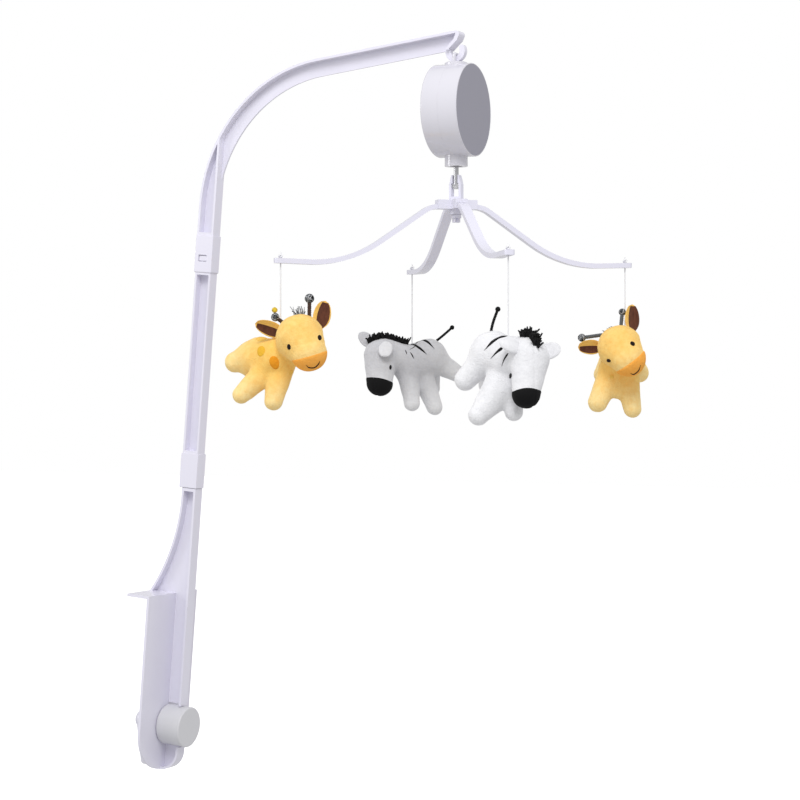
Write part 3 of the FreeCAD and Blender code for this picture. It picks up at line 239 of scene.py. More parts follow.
arm_white = plastic("arm_white", (0.78, 0.765, 0.87))
case_white = plastic("case_white", (0.68, 0.67, 0.73), 0.2, 0.6)
spider_white = plastic("spider_white", (0.76, 0.75, 0.86))
clamp_white = plastic("clamp_white", (0.78, 0.77, 0.85))
knob_white = plastic("knob_white", (0.66, 0.66, 0.69), 0.38, 0.1, 0.1)
# the front disc's grey is partly its own darker grey and partly painted shade
disc_grey = plastic("disc_grey", (0.33, 0.325, 0.385), 0.55, 0.0, 0.35)
gear_cream = plastic("gear_cream", (0.75, 0.72, 0.62), 0.4, 0.0)
steel = metal("spring_steel", (0.62, 0.62, 0.64), 0.3)
brass = metal("drum_brass", (0.78, 0.58, 0.26), 0.28)
zinc = metal("cast_zinc", (0.45, 0.46, 0.48), 0.5)
cotton = yarn("string_cotton", (0.86, 0.86, 0.88), 1200, 0.1, 0.25, 0.9)
yellow_plush = plush("yellow_plush", (0.96, 0.61, 0.16), (0.97, 0.75, 0.35),
                     worn=(0.94, 0.74, 0.46))
white_plush = plush("white_plush", (0.80, 0.80, 0.825), (0.86, 0.86, 0.88))
# the far zebra's white plush, painted grey as shade, with its middle darker still as painted shade
white_plush_in_shade = plush("white_plush_painted_shade", (0.56, 0.56, 0.585), (0.76, 0.76, 0.775))
# the zebras' ear lining: white plush painted light grey as shade; only the far zebra shows it
ear_lining_painted_shade = plush("ear_lining_painted_shade", (0.74, 0.74, 0.76), (0.80, 0.80, 0.82))
orange_plush = plush("muzzle_orange_plush", (0.95, 0.40, 0.055), (0.96, 0.47, 0.10),
                     worn=(0.95, 0.78, 0.5))
mustard_spot = plush("spot_mustard", (0.82, 0.46, 0.04), (0.82, 0.46, 0.04))
orange_spot = plush("spot_orange", (0.84, 0.33, 0.02), (0.84, 0.33, 0.02))
pale_spot = plush("spot_pale", (0.90, 0.56, 0.12), (0.90, 0.56, 0.12))
brown_suede = yarn("ear_brown_suede", (0.13, 0.042, 0.022), 500, 0.4)
black_felt = yarn("muzzle_black_felt", (0.0045, 0.0045, 0.005), 1500, 0.8, 0.0)
black_yarn = yarn("black_yarn", (0.006, 0.006, 0.007), 900, 0.5, 0.04)
dark_thread = yarn("dark_thread", (0.014, 0.007, 0.005), 900, 0.5, 0.04)
grey_yarn = yarn("grey_yarn", (0.12, 0.13, 0.14))
light_yarn = yarn("light_yarn", (0.55, 0.56, 0.58))
brown_yarn = yarn("brown_yarn", (0.075, 0.04, 0.03))
yellow_yarn = yarn("yellow_yarn", (0.88, 0.62, 0.05))

CAD_LOOKS = {
    "lower_arm": arm_white, "middle_arm": arm_white, "upper_arm": arm_white,
    "clamp_bolt": clamp_white, "clamp_jaw": clamp_white,
    "clamp_knob": knob_white, "clamp_knob_cap": knob_white,
    "case_back": case_white, "case_front": case_white, "front_disc": disc_grey,
    "hanger_eye": case_white, "neck_bush": gear_cream, "winding_key": case_white,
    "barrel_arbor": steel, "movement_frame": zinc, "spring_barrel": gear_cream,
    "mainspring": steel, "pinned_drum": brass, "music_comb": steel, "comb_screws": steel,
    "governor_cage": zinc, "governor_fly": gear_cream, "drive_shaft": steel,
    "shaft_clip": steel, "spider_hub": spider_white, "hub_screw": spider_white,
    "spider_arm_1": spider_white, "spider_arm_2": spider_white,
    "spider_arm_3": spider_white, "spider_arm_4": spider_white,
}
# width of the rounded edges, in metres
ROUNDED = {"lower_arm": 0.0005, "middle_arm": 0.0005, "upper_arm": 0.0005, "case_back": 0.0008,
           "case_front": 0.0008, "front_disc": 0.0004, "clamp_knob": 0.0005,
           "clamp_knob_cap": 0.0006, "clamp_jaw": 0.0005}


def dress_cad_nodes():
    """Materials for the CAD nodes that stay, and rounded edges for the larger mouldings."""
    for name, material in CAD_LOOKS.items():
        node = nodes[name]
        node.data.materials.clear()
        node.data.materials.append(material)
        if name in ROUNDED:
            weld = node.modifiers.new("join_faces", "WELD")
            weld.merge_threshold = WELD_GAP
            edge = node.modifiers.new("moulded_edge", "BEVEL")
            edge.width = ROUNDED[name]
            edge.segments = 2
            edge.limit_method = "ANGLE"
            edge.angle_limit = EDGE_ANGLE
            node.modifiers.new("even_shading", "WEIGHTED_NORMAL")


# ---------------------------------------------------------------- mesh helpers
def unit(vector):
    return vector / max(1e-9, float(np.linalg.norm(vector)))


def smooth_path(points, count):
    """Even samples of a smooth line through a few points; extra columns are carried along."""
    rows = np.array(points, float)
    steps = np.linalg.norm(np.diff(rows, axis=0), axis=1)
    place = np.concatenate([[0], np.cumsum(steps)])
    ends = np.vstack([2 * rows[0] - rows[1], rows, 2 * rows[-1] - rows[-2]])
    result = []
    for goal in np.linspace(0, place[-1], count):
        i = min(len(rows) - 2, int(np.searchsorted(place, goal, "right")) - 1)
        t = (goal - place[i]) / max(1e-9, place[i + 1] - place[i])
        p0, p1, p2, p3 = ends[i:i + 4]
        result.append(0.5 * (2 * p1 + (p2 - p0) * t + (2 * p0 - 5 * p1 + 4 * p2 - p3) * t * t
                             + (3 * p1 - p0 - 3 * p2 + p3) * t ** 3))
    return np.array(result)


def frames_along(path):
    """A normal and a binormal at each point of a path, without twist."""
    tangents = np.gradient(path, axis=0)
    start = unit(tangents[0])
    guess = np.array((0, 0, 1.0)) if abs(start[2]) < 0.9 else np.array((1.0, 0, 0))
    normal = unit(np.cross(start, guess))
    result = []
    for tangent in tangents:
        along = unit(tangent)
        normal = unit(normal - along * np.dot(normal, along))
        result.append((normal, np.cross(along, normal)))
    return result


class Loose:
    """Closed shapes in a toy's own millimetres, gathered into one mesh."""

    def __init__(self):
        self.points = []
        self.faces = []
        self.looks = []

    def add(self, points, faces, look=0):
        first = len(self.points)
        self.points.extend(tuple(float(c) for c in p) for p in points)
        self.faces.extend(tuple(first + i for i in face) for face in faces)
        self.looks.extend([look] * len(faces))

    def tube(self, path, radius, sides=6, look=0):
        """A closed round tube; radius is one number or one for each point of the path."""
        path = np.array(path, float)
        radii = np.broadcast_to(np.array(radius, float), (len(path),))
        points = []
        for centre, r, (normal, side) in zip(path, radii, frames_along(path)):
            for k in range(sides):
                turn = 2 * math.pi * k / sides
                points.append(centre + r * (math.cos(turn) * normal + math.sin(turn) * side))
        faces = []
        for i in range(len(path) - 1):
            for k in range(sides):
                a, b = i * sides + k, i * sides + (k + 1) % sides
                faces.append((a, b, b + sides, a + sides))
        faces.append(tuple(range(sides - 1, -1, -1)))
        faces.append(tuple((len(path) - 1) * sides + k for k in range(sides)))
        self.add(points, faces, look)

    def twisted(self, path, radius, strands=3, pitch=4.0, look=0):
        """A cord of strands laid round each other."""
        steps = np.linalg.norm(np.diff(path, axis=0), axis=1)
        run = np.concatenate([[0], np.cumsum(steps)])
        thread = radius * 0.56
        for s in range(strands):
            line = []
            for centre, far, (normal, side) in zip(path, run, frames_along(path)):
                turn = 2 * math.pi * (far / pitch + s / strands)
                away = math.cos(turn) * normal + math.sin(turn) * side
                line.append(centre + (radius - thread) * away)
            self.tube(line, thread, 6, look)

    def wound_ball(self, centre, radius, chance, loops=16, looks=(0,)):
        """Thread wound round and round into a ball."""
        thread = radius * 0.17
        for loop in range(loops):
            axis = unit(np.array([chance.gauss(0, 1) for _ in range(3)]))
            across = unit(np.cross(axis, (0.3, 0.5, 0.8)))
            other = np.cross(axis, across)
            level = radius * chance.uniform(-0.35, 0.35)
            wide = math.sqrt(max(0.1, (radius - thread) ** 2 - level ** 2))
            path = [np.array(centre) + axis * level
                    + wide * (math.cos(t) * across + math.sin(t) * other)
                    for t in np.linspace(0, 2 * math.pi, 19)]
            self.tube(path, thread, 5, looks[loop % len(looks)])

    def make(self, name, place, materials):
        mesh = bpy.data.meshes.new(name)
        mesh.from_pydata(self.points, [], self.faces)
        for material in materials:
            mesh.materials.append(material)
        mesh.polygons.foreach_set("material_index", self.looks)
        mesh.polygons.foreach_set("use_smooth", [True] * len(self.faces))
        mesh.transform(place)
        mesh.update()
        piece = bpy.data.objects.new(name, mesh)
        scene.collection.objects.link(piece)
        return piece


# ---------------------------------------------------------------- plush skin
def limb_distance(points, limb):
    start, end = np.array(limb[0], float), np.array(limb[1], float)
    line = end - start
    t = np.clip((points - start) @ line / (line @ line), 0, 1)
    radius = limb[2] + (limb[3] - limb[2]) * t
    return np.linalg.norm(points - (start + t[:, None] * line), axis=1) - radius


def skin_distance(points, limbs):
    """Distance to the stuffed skin, its limbs running into each other over their own width."""
    total = limb_distance(points, limbs[0])
    for limb in limbs[1:]:
        soft = limb[4]
        other = limb_distance(points, limb)
        share = np.clip(0.5 + 0.5 * (other - total) / soft, 0, 1)
        total = other * (1 - share) + total * share - soft * share * (1 - share)
    return total


def skin_slope(points, limbs):
    """Unit vectors straight out of the skin."""
    step = 0.05
    slope = np.zeros_like(points)
    for axis in range(3):
        shift = np.zeros(3)
        shift[axis] = step
        ahead, behind = skin_distance(points + shift, limbs), skin_distance(points - shift, limbs)
        slope[:, axis] = (ahead - behind) / (2 * step)
    return slope / np.maximum(1e-6, np.linalg.norm(slope, axis=1))[:, None]


def make_skin(name, limbs, seams):
    """Mesh of the stuffed skin: voxels first, then every point drawn onto the smooth surface.

    Lumps, ripples and sewn lines come last, and the tone attribute says how pale the colour is at
    each point; on the far zebra its darker middle is painted shade.
    """
    bm = bmesh.new()
    for start, end, r0, r1, _ in limbs:
        a, b = Vector(start), Vector(end)
        count = max(3, int((b - a).length / 2.5))
        for i in range(count + 1):
            t = i / count
            bmesh.ops.create_icosphere(bm, subdivisions=3, radius=r0 + (r1 - r0) * t,
                                       matrix=Matrix.Translation(a.lerp(b, t)))
    rough = bpy.data.meshes.new(name + "_rough")
    bm.to_mesh(rough)
    bm.free()
    holder = bpy.data.objects.new(name + "_rough", rough)
    scene.collection.objects.link(holder)
    voxels = holder.modifiers.new("voxels", "REMESH")
    voxels.mode = "VOXEL"
    voxels.voxel_size = VOXEL * 1
    graph = bpy.context.evaluated_depsgraph_get()
    mesh = bpy.data.meshes.new_from_object(holder.evaluated_get(graph))
    bpy.data.objects.remove(holder)
    bpy.data.meshes.remove(rough)

    count = len(mesh.vertices)
    flat = np.zeros(count * 3)
    mesh.vertices.foreach_get("co", flat)
    points = flat.reshape(-1, 3)
    pairs = np.zeros(len(mesh.edges) * 2, int)
    mesh.edges.foreach_get("vertices", pairs)
    left, right = pairs.reshape(-1, 2).T
    degree = np.maximum(1, np.bincount(left, minlength=count) + np.bincount(right, minlength=count))
    for _ in range(RELAX_PASSES):
        sums = np.zeros_like(points)
        np.add.at(sums, left, points[right])
        np.add.at(sums, right, points[left])
        points += 0.5 * (sums / degree[:, None] - points)
        for _ in range(2):
            points -= skin_slope(points, limbs) * skin_distance(points, limbs)[:, None]
    outward = skin_slope(points, limbs)
    push = np.array([LUMP_DEPTH * noise.noise(Vector(p) / LUMP_WIDTH)
                     + RIPPLE_DEPTH * noise.noise(Vector(p) / RIPPLE_WIDTH) for p in points])
    for spot, across, limb_index in seams:
        off = np.abs((points - np.array(spot, float)) @ unit(np.array(across, float)))
        own = np.abs(limb_distance(points, limbs[limb_index])) < SEAM_BAND
        push -= np.where(own, SEAM_DEPTH * np.exp(-(off / SEAM_WIDTH) ** 2), 0)
    points += outward * push[:, None]
    mesh.vertices.foreach_set("co", points.ravel())
    # paler away from the middle of body and head; on the far zebra the darker middle is painted
    # shade
    from_body = np.linalg.norm(points - np.array(limbs[0][0], float), axis=1)
    from_head = np.linalg.norm(points - np.array(limbs[HEAD][0], float), axis=1)
    reach = np.min([from_body, from_head + HEAD_PALE_SOONER], axis=0)
    tone = mesh.attributes.new("tone", "FLOAT", "POINT")
    pale = np.clip((reach - PALE_FROM) / PALE_OVER, 0, 1)
    tone.data.foreach_set("value", pale.astype(np.float32))
    mesh.polygons.foreach_set("use_smooth", [True] * len(mesh.polygons))
    mesh.update()
    return mesh


def cut_patch(name, skin, field, height, place, material):
    """The skin where field is above 0, cut along a clean line and raised as a cloth of its own."""
    bm = bmesh.new()
    bm.from_mesh(skin)
    values = field(np.array([v.co for v in bm.verts]))
    value = {v: float(x) for v, x in zip(bm.verts, values)}
    crossing = [e for e in bm.edges if (value[e.verts[0]] > 0) != (value[e.verts[1]] > 0)]
    line = []
    for edge in crossing:
        a, b = edge.verts
        share = min(0.97, max(0.03, value[a] / (value[a] - value[b])))
        _, middle = bmesh.utils.edge_split(edge, a, share)
        value[middle] = 0.0
        line.append(middle)
    bmesh.ops.connect_verts(bm, verts=line)
    gone = [f for f in bm.faces if min(value[v] for v in f.verts) < -1e-9]
    bmesh.ops.delete(bm, geom=gone, context="FACES")
    bm.normal_update()
    lifts = [(v, v.normal.copy(), min(1.0, value[v] / PATCH_HEM)) for v in bm.verts]
    for v, normal, inside in lifts:
        v.co += normal * (PATCH_GAP + height * math.sqrt(max(0.0, inside)))
    bmesh.ops.solidify(bm, geom=bm.faces[:], thickness=PATCH_THICKNESS)
    bmesh.ops.recalc_face_normals(bm, faces=bm.faces[:])
    mesh = bpy.data.meshes.new(name)
    bm.to_mesh(mesh)
    bm.free()
    mesh.materials.append(material)
    mesh.polygons.foreach_set("use_smooth", [True] * len(mesh.polygons))
    mesh.transform(place)
    piece = bpy.data.objects.new(name, mesh)
    scene.collection.objects.link(piece)
    return piece


class Surface:
    """Finds points on a toy's skin."""

    def __init__(self, mesh):
        bm = bmesh.new()
        bm.from_mesh(mesh)
        self.tree = BVHTree.FromBMesh(bm)
        bm.free()
        self.depth = 0.0

    def seen(self, x, z, side=-1):
        """First point of the skin at x, z, seen from the front (side -1) or the back (1).

        Where the skin is missed, the rim nearest to the depth of the last point stands for it.
        """
        hit, normal, _, _ = self.tree.ray_cast(Vector((x, side * 90, z)), Vector((0, -side, 0)))
        if hit is None:
            hit, normal, _, _ = self.tree.find_nearest(Vector((x, self.depth, z)))
        self.depth = hit.y
        return np.array(hit), np.array(normal)

    def near(self, point):
        hit, normal, _, _ = self.tree.find_nearest(Vector(point))
        return np.array(hit), np.array(normal)


def add_dome(shape, surface, centre, size, tilt, height, side=-1, egg=0.0, look=0):
    """A raised oval that follows the skin: an eye or a spot."""
    rings, spokes = 7, 28
    gap, root = 0.06, 0.35
    turn = math.radians(tilt)
    top, under, faces = [], [], []
    for i in range(rings + 1):
        r = i / rings
        for k in range(spokes):
            angle = 2 * math.pi * k / spokes
            wide = r * size[0] / 2 * (1 + egg * math.sin(angle))
            u, w = wide * math.cos(angle), r * size[1] / 2 * math.sin(angle)
            x = centre[0] + u * math.cos(turn) - w * math.sin(turn)
            z = centre[1] + u * math.sin(turn) + w * math.cos(turn)
            hit, normal = surface.seen(x, z, side)
            top.append(hit + normal * (gap + height * math.sqrt(max(0.0, 1 - r * r))))
            under.append(hit - normal * root)
    total = len(top)
    for i in range(rings):
        for k in range(spokes):
            a, b = i * spokes + k, i * spokes + (k + 1) % spokes
            c, d = b + spokes, a + spokes
            if i == 0:
                faces.append((a, c, d))
                faces.append((total + a, total + d, total + c))
            else:
                faces.append((a, b, c, d))
                faces.append((total + a, total + d, total + c, total + b))
    rim = rings * spokes
    for k in range(spokes):
        n = (k + 1) % spokes
        faces.append((rim + k, rim + n, total + rim + n, total + rim + k))
    shape.add(top + under, faces, look)


def add_ribbon(shape, surface, line, height, side=-1, look=0, count=26):
    """A sewn line on the skin; line holds x, z and width, drawn to nothing at its ends."""
    rows = smooth_path(line, count)
    slopes = np.gradient(rows[:, :2], axis=0)
    across = 5
    gap, root, narrowest = 0.05, 0.3, 0.06
    top, under, faces = [], [], []
    for (x, z, width), slope in zip(rows, slopes):
        lateral = unit(np.array((-slope[1], slope[0])))
        for k in range(across):
            q = 2 * k / (across - 1) - 1
            half = max(narrowest, width / 2) * q
            hit, normal = surface.seen(x + lateral[0] * half, z + lateral[1] * half, side)
            top.append(hit + normal * (gap + height * math.sqrt(max(0.0, 1 - q * q))))
            under.append(hit - normal * root)
    total = len(top)
    for i in range(count - 1):
        for k in range(across - 1):
            a, b = i * across + k, i * across + k + 1
            c, d = b + across, a + across
            faces.append((a, b, c, d))
            faces.append((total + a, total + d, total + c, total + b))
        for k in (0, across - 1):
            a, d = i * across + k, (i + 1) * across + k
            faces.append((a, d, total + d, total + a) if k == 0 else (d, a, total + a, total + d))
    for i in (0, count - 1):
        ring = [i * across + k for k in range(across)]
        ring += [total + i * across + k for k in range(across - 1, -1, -1)]
        faces.append(tuple(reversed(ring)) if i == 0 else tuple(ring))
    shape.add(top + under, faces, look)


def add_ear(shape, base, end, width, front, cup, thick, inner, round_tip):
    """A cupped leaf of two cloths, narrow at its root.

    inner is the part of its width that shows the lining, from -1 to 1; a small round_tip makes
    its end rounder.
    """
    base, end = np.array(base, float), np.array(end, float)
    along = unit(end - base)
    face = np.array(front, float)
    face = unit(face - along * np.dot(face, along))
    side = np.cross(along, face)
    stations, cells = 18, 16
    rows = []
    for i in range(stations + 1):
        s = i / stations
        swell = math.sin(math.pi * (0.07 + 0.93 * s)) if s < 1 else 0.0
        half = max(0.25, width / 2 * max(0.0, swell) ** (round_tip + 0.5 * (1 - s) ** 3))
        centre = base + (end - base) * s
        section = []
        for k in range(cells + 1):
            q = 2 * k / cells - 1
            bow = cup * half * (1 - q * q)
            body = thick * (half / (width / 2)) * math.sqrt(max(0.0, 1 - q * q)) / 2 + 0.25
            point = centre + side * half * q - face * bow
            section.append((point + face * body * 0.45, point - face * body))
        rows.append(section)
    points = [p for row in rows for pair in row for p in pair]
    wide = 2 * (cells + 1)
    linings, backs = [], []
    for i in range(stations):
        for k in range(cells):
            q = (2 * k + 1) / cells - 1
            a = i * wide + 2 * k
            quad = (a, a + 2, a + wide + 2, a + wide)
            lined = inner[0] <= q <= inner[1] and 1 <= i < stations - 1
            (linings if lined else backs).append(quad)
            backs.append((a + 1, a + wide + 1, a + wide + 3, a + 3))
        for k in (0, cells):
            a = i * wide + 2 * k
            quad = (a, a + wide, a + wide + 1, a + 1)
            backs.append(quad if k == 0 else tuple(reversed(quad)))
    for i in (0, stations):
        ring = [i * wide + 2 * k for k in range(cells + 1)]
        ring += [i * wide + 2 * k + 1 for k in range(cells, -1, -1)]
        backs.append(tuple(reversed(ring)) if i == 0 else tuple(ring))
    first = len(shape.points)
    shape.points.extend(tuple(float(c) for c in p) for p in points)
    for group, look in ((backs, 0), (linings, 1)):
        shape.faces.extend(tuple(first + i for i in face) for face in group)
        shape.looks.extend([look] * len(group))


def add_fringe(shape, surface, line, count, length, lean, chance, looks, spread=2.2, thread=0.55):
    """Cut ends of yarn that stand out of the skin along a line."""
    rows = smooth_path(line, count)
    for number, row in enumerate(rows):
        stray = np.array([chance.uniform(-spread, spread) for _ in range(3)])
        hit, normal = surface.near(row + stray * (0.6, 0.8, 0.6))
        way = unit(normal + np.array(lean) + np.array([chance.gauss(0, 0.28) for _ in range(3)]))
        bend = np.array([chance.gauss(0, 0.22) for _ in range(3)])
        long = length * chance.uniform(0.75, 1.15)
        path = [hit - normal * 0.8 + way * long * t + bend * long * t * t
                for t in np.linspace(0, 1, 6)]
        radii = [thread, thread, thread, thread * 1.02, thread * 1.05, thread * 0.8]
        shape.tube(path, radii, 6, looks[number % len(looks)])


# ---------------------------------------------------------------- the four animals
# angle: its spider arm, seen from above; hang: how far aside and down from its CAD solid
# limbs: start, end, start radius, end radius, width of the fold where it joins the others
# seams: a point of the sewn line, the way across it, and its limb
# muzzle: two ends of the line over it, how much that bows, and its reach from the mouth
# eyes and spots: x, z, width, height, tilt, and a spot's colour; a spot of colour 0 or 1 is on
# both sides
# smile and stripes: x, z and width along the line
# ears: root, tip, width, the way it faces, cup, thickness, lined part, round_tip
# horns: root, tip, radius, radius of its ball; stem: their colour; fringe: the mane's line
TOYS = {
    "giraffe_left": {
        "angle": 222, "hang": (0, 0), "skin": yellow_plush, "muzzle_cloth": orange_plush,
        "limbs": (
            ((-3, -6, -17), (-22, 14, -17.5), 17.3, 17, 0),
            ((0, -8, -15), (17, -20, -3), 13, 12, 5),
            ((18, -25, -1), (25.4, -34, -13), 20.8, 15.0, 2.2),
            ((-18, 10, -12), (-39.8, 15, -20), 13, 8.9, 4),
            ((-10, 24, -18), (-14, 40, -30), 11.5, 9.5, 4),
            ((-9, -5, -25), (-32.6, -10, -48), 12, 7.5, 4),
            ((0, -8, -27), (-5, -14, -53.2), 11.6, 7.9, 3),
        ),
        "seams": (),
        "muzzle": ((13.4, -19.8), (40.8, -11.8), 0.004, 15.5),
        "eyes": ((9.2, -8, 3.1, 4.8, 8), (34.6, -0.2, 3.0, 4.6, 12)),
        "smile": ((23.8, -23.2, 0.1), (26, -25.2, 0.9), (30.4, -25.2, 0.9), (33.6, -22.6, 0.9),
                  (35, -19.8, 0.1)),
        "spots": ((-15.6, -11.2, 7, 9, -10, 0), (-3.9, -20.9, 8, 11.4, 18, 1),
                  (-16.2, 0.2, 9.4, 5.2, 8, 2), (9.6, -29.2, 2.6, 4.2, -25, 2)),
        "ears": (((33.6, -21, 7.6), (38.6, -17, 31.2), 15.6, (0.35, -1, 0), 0.4, 3.6,
                  (-0.5, 0.9), 0.42),
                 ((4.5, -21, 3.2), (-20.4, -18.5, 12), 15, (-0.15, -0.85, -0.45), 0.45, 3.6,
                  (-0.9, 0.12), 0.45)),
        "horns": (((25.4, -24, 17.5), (25.6, -24, 33), 1.8, 4.1),
                  ((4.5, -20.5, 12), (-3.3, -21, 17.4), 1.8, 3.6)),
        "fringe": ((12, -13, 19), (16, -12, 20.5), (21, -12, 20)),
        "fringe_lean": (-0.25, 0.1, 1.3), "fringe_length": 8.6,
        "stem": 0, "tuft": (-3.8, -21, 23.4),
        "tail": ((-26, 26, -12), (-27.5, 33, -17), (-29, 38, -26)),
    },
    "zebra_far": {
        # its skin is the white plush painted grey as shade
        "angle": 132, "hang": (-1.6, 2.8), "skin": white_plush_in_shade, "muzzle_cloth": black_felt,
        "limbs": (
            ((0, 0, -17.5), (17.5, 4, -10.5), 17.5, 17, 0),
            ((-4, -4, -14), (-22, -12, -8), 13.5, 14, 7),
            ((-28, -16, -10), (-28.4, -24, -35.2), 15.6, 11.6, 4),
            ((-2, -7, -28), (1.6, -14, -54), 10.2, 7.4, 4),
            ((10.5, 2, -26), (22.8, -2, -57.8), 11, 7.4, 4),
            ((26, 6, -16), (44, 10, -26), 11, 8, 5),
            ((18, 16, -22), (20, 27, -40), 10.5, 8, 4),
        ),
        "seams": (((-31, -24, -20), (0.97, -0.25, 0), 2),),
        "muzzle": ((-39.7, -28.4), (-16.8, -32.6), -0.012, 40),
        "eyes": ((-18.6, -20.6, 2.1, 4.4, -4),),
        "stripes": (((4.6, 5.6, 0.1), (8.5, 6.3, 1.5), (12, 5.6, 2.0), (17, 2.6, 1.9),
                     (22.4, -3.2, 0.1)),
                    ((0.1, 0.8, 0.1), (3.6, 0.6, 1.6), (7.7, -1.9, 2.1), (11.6, -5, 1.6),
                     (15.4, -8.6, 0.1)),
                    ((-4.9, -4.2, 0.1), (-4.1, -6.2, 0.9), (-3.3, -8.4, 0.1)),
                    ((-0.4, -6.2, 0.1), (1.6, -9.2, 1.1), (3.5, -13, 0.1))),
        "ears": (((-34, -14, -0.5), (-48, -11.5, 11.5), 12.5, (-0.3, -1, 0.3), 0.1, 6, (2, 2), 0.5),
                 ((-22.2, -23, 3.6), (-24, -37.5, -11.2), 14.2, (0.0, -0.85, 0.5), -0.1, 5,
                  (-0.85, 0.85), 0.4)),
        "fringe": ((-38, -14, 2), (-34, -15, 5.5), (-29, -15, 6.8), (-24, -14, 6.6),
                   (-17, -11, 4.2), (-9, -8, 1.6), (-3, -5, -0.5)),
        "fringe_lean": (-0.15, -0.3, 0.7),
        "tail": ((25, 6, 5), (31, 7, 9.8), (39.4, 8, 17.2)),
    },
    "zebra_near": {
        "angle": 312, "hang": (0, 1.6), "skin": white_plush, "muzzle_cloth": black_felt,
        "limbs": (
            ((4, -6, -20), (-12, 12, -13), 18, 18.5, 0),
            ((2, -6, -16), (14, -18, -14), 15, 15, 7),
            ((15.8, -22, -17.6), (12.4, -32, -45.2), 15.8, 10.7, 4),
            ((-19, 10, -18), (-34, 12, -34), 12, 8.6, 5),
            ((-5, -6, -39), (-24, -14, -61.8), 15.5, 8.2, 4),
            ((2, -8, -32), (4, -12, -59.5), 10.5, 7.2, 4),
            ((-8, 20, -20), (-14, 30, -38), 11, 8.4, 4),
        ),
        "seams": (((17, -22, -16), (1, 0.12, -0.02), 2),),
        "muzzle": ((1.6, -40.6), (23.4, -39.8), -0.022, 40),
        "eyes": ((0.6, -30.8, 1.7, 4.3, -6),),
        "stripes": (((-0.9, 0.9, 0.1), (-4, 0.6, 1.6), (-8, -0.6, 1.5), (-13.4, -4.2, 2.1),
                     (-19.4, -10.6, 0.1)),
                    ((-4.8, -8.2, 0.3), (-6.6, -9.4, 2.3), (-10.6, -12.8, 1.4),
                     (-14.6, -17.3, 0.1)),
                    ((-1.2, -12.8, 0.2), (-2.4, -14.6, 1.3), (-4.6, -18.4, 0.9),
                     (-6.3, -23.3, 0.1))),
        "ears": (((10.5, -28, -9.4), (-8.5, -34, -5.4), 13, (0.1, -0.8, 0.6), -0.2, 5.5,
                  (2, 2), 0.5),
                 ((22, -21, -13.9), (40.4, -19, -8.2), 13.5, (-0.1, -1, 0.2), 0.1, 6.5,
                  (2, 2), 0.42)),
        "fringe": ((11, -19, -3.2), (14, -22, -2.2), (17, -25, -2.8), (19, -28, -4.6),
                   (20, -31, -8)),
        "fringe_lean": (0.05, -0.3, 0.7),
        "tail": ((-13.5, 14, 3), (-11.5, 15, 12), (-7.5, 16, 23)),
    },
    "giraffe_right": {
        "angle": 42, "hang": (0, 0), "skin": yellow_plush, "muzzle_cloth": orange_plush,
        "limbs": (
            ((-3, -6, -17.5), (-2, 24, -17), 17.3, 17, 0),
            ((-3, -8, -17), (-4, -18, -10), 15.5, 15, 6),
            ((-7, -25, -7), (-0.8, -35, -17.2), 19.6, 14.8, 0.8),
            ((-12, -4, -28), (-25, -10, -55), 12, 8.6, 4),
            ((0, -4, -28), (5.6, -10, -61), 12, 7.6, 4),
            ((-7, -7, -32), (-7.2, -8, -45), 10.5, 7, 4),
            ((9, 26, -20), (17, 37, -29), 11, 8.4, 4),
            ((-10, 26, -20), (-16, 37, -30), 11, 8.4, 4),
        ),
        "seams": (),
        "muzzle": ((-8.8, -27.2), (11.9, -11.2), 0.003, 17.5),
        "eyes": ((-17.9, -18.5, 3.6, 2.6, -42), (2.1, -3.9, 4.6, 3.7, -38)),
        "smile": ((0.1, -29.5, 0.1), (3.2, -30.5, 0.9), (7.2, -27.2, 0.9), (8.5, -22.5, 0.1)),
        "spots": ((-13.4, -32.4, 3.2, 3.8, 30, 2),),
        "ears": (((4.5, -19.5, 6.5), (4.6, -17, 31), 15, (0.55, -1, 0), 0.42, 3.6,
                  (-0.35, 0.95), 0.42),
                 ((-21.5, -20, -6.4), (-43, -17.5, -6.6), 15, (-0.1, -0.8, -0.5), 0.45, 3.6,
                  (-0.9, -0.05), 0.42)),
        "horns": (((-5.5, -18, 11), (-3.6, -12.5, 24.4), 1.8, 3.3),
                  ((-22, -19, 4.2), (-39.6, -16.5, 1.8), 1.8, 3.6)),
        "fringe": ((-23, -14, 5), (-17, -14, 9.5), (-9, -13.5, 12.6)),
        "fringe_lean": (-0.9, 0.2, 0.1), "fringe_length": 4.0, "stem": 1,
        "tail": ((-2, 38, -12), (-2, 44, -15), (-2, 49, -20)),
    },
}


def muzzle_field(limbs, line):
    """Above 0 on the part of the head under a line of the front view and near the mouth."""
    (x0, z0), (x1, z1), bow, reach = line
    mouth = np.array(limbs[HEAD][1], float)
    along = unit(np.array((x1 - x0, z1 - z0)))
    down = np.array((along[1], -along[0]))
    others = [limb for k, limb in enumerate(limbs) if k != HEAD]
    middle = np.array(((x0 + x1) / 2, (z0 + z1) / 2))

    def field(points):
        flat = points[:, (0, 2)] - middle
        lateral = flat @ along
        under = flat @ down + bow * lateral ** 2
        near = reach - np.linalg.norm(points - mouth, axis=1)
        return np.minimum(np.minimum(under, near), skin_distance(points, others) - 1.0)
    return field


def settle(piece, body):
    """Says which body a piece moves with."""
    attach(piece, body)
    return piece


def toy_frame(toy):
    """Takes a toy's own millimetres to the row frame."""
    x, y = tip(toy["angle"])
    aside, drop = toy["hang"]
    return (Matrix.Translation((x, y, TOY_ORIGIN_Z)) @ Matrix.Rotation(VIEW_YAW, 4, "Z")
            @ Matrix.Scale(MM, 4) @ Matrix.Translation((aside, 0, -drop)))


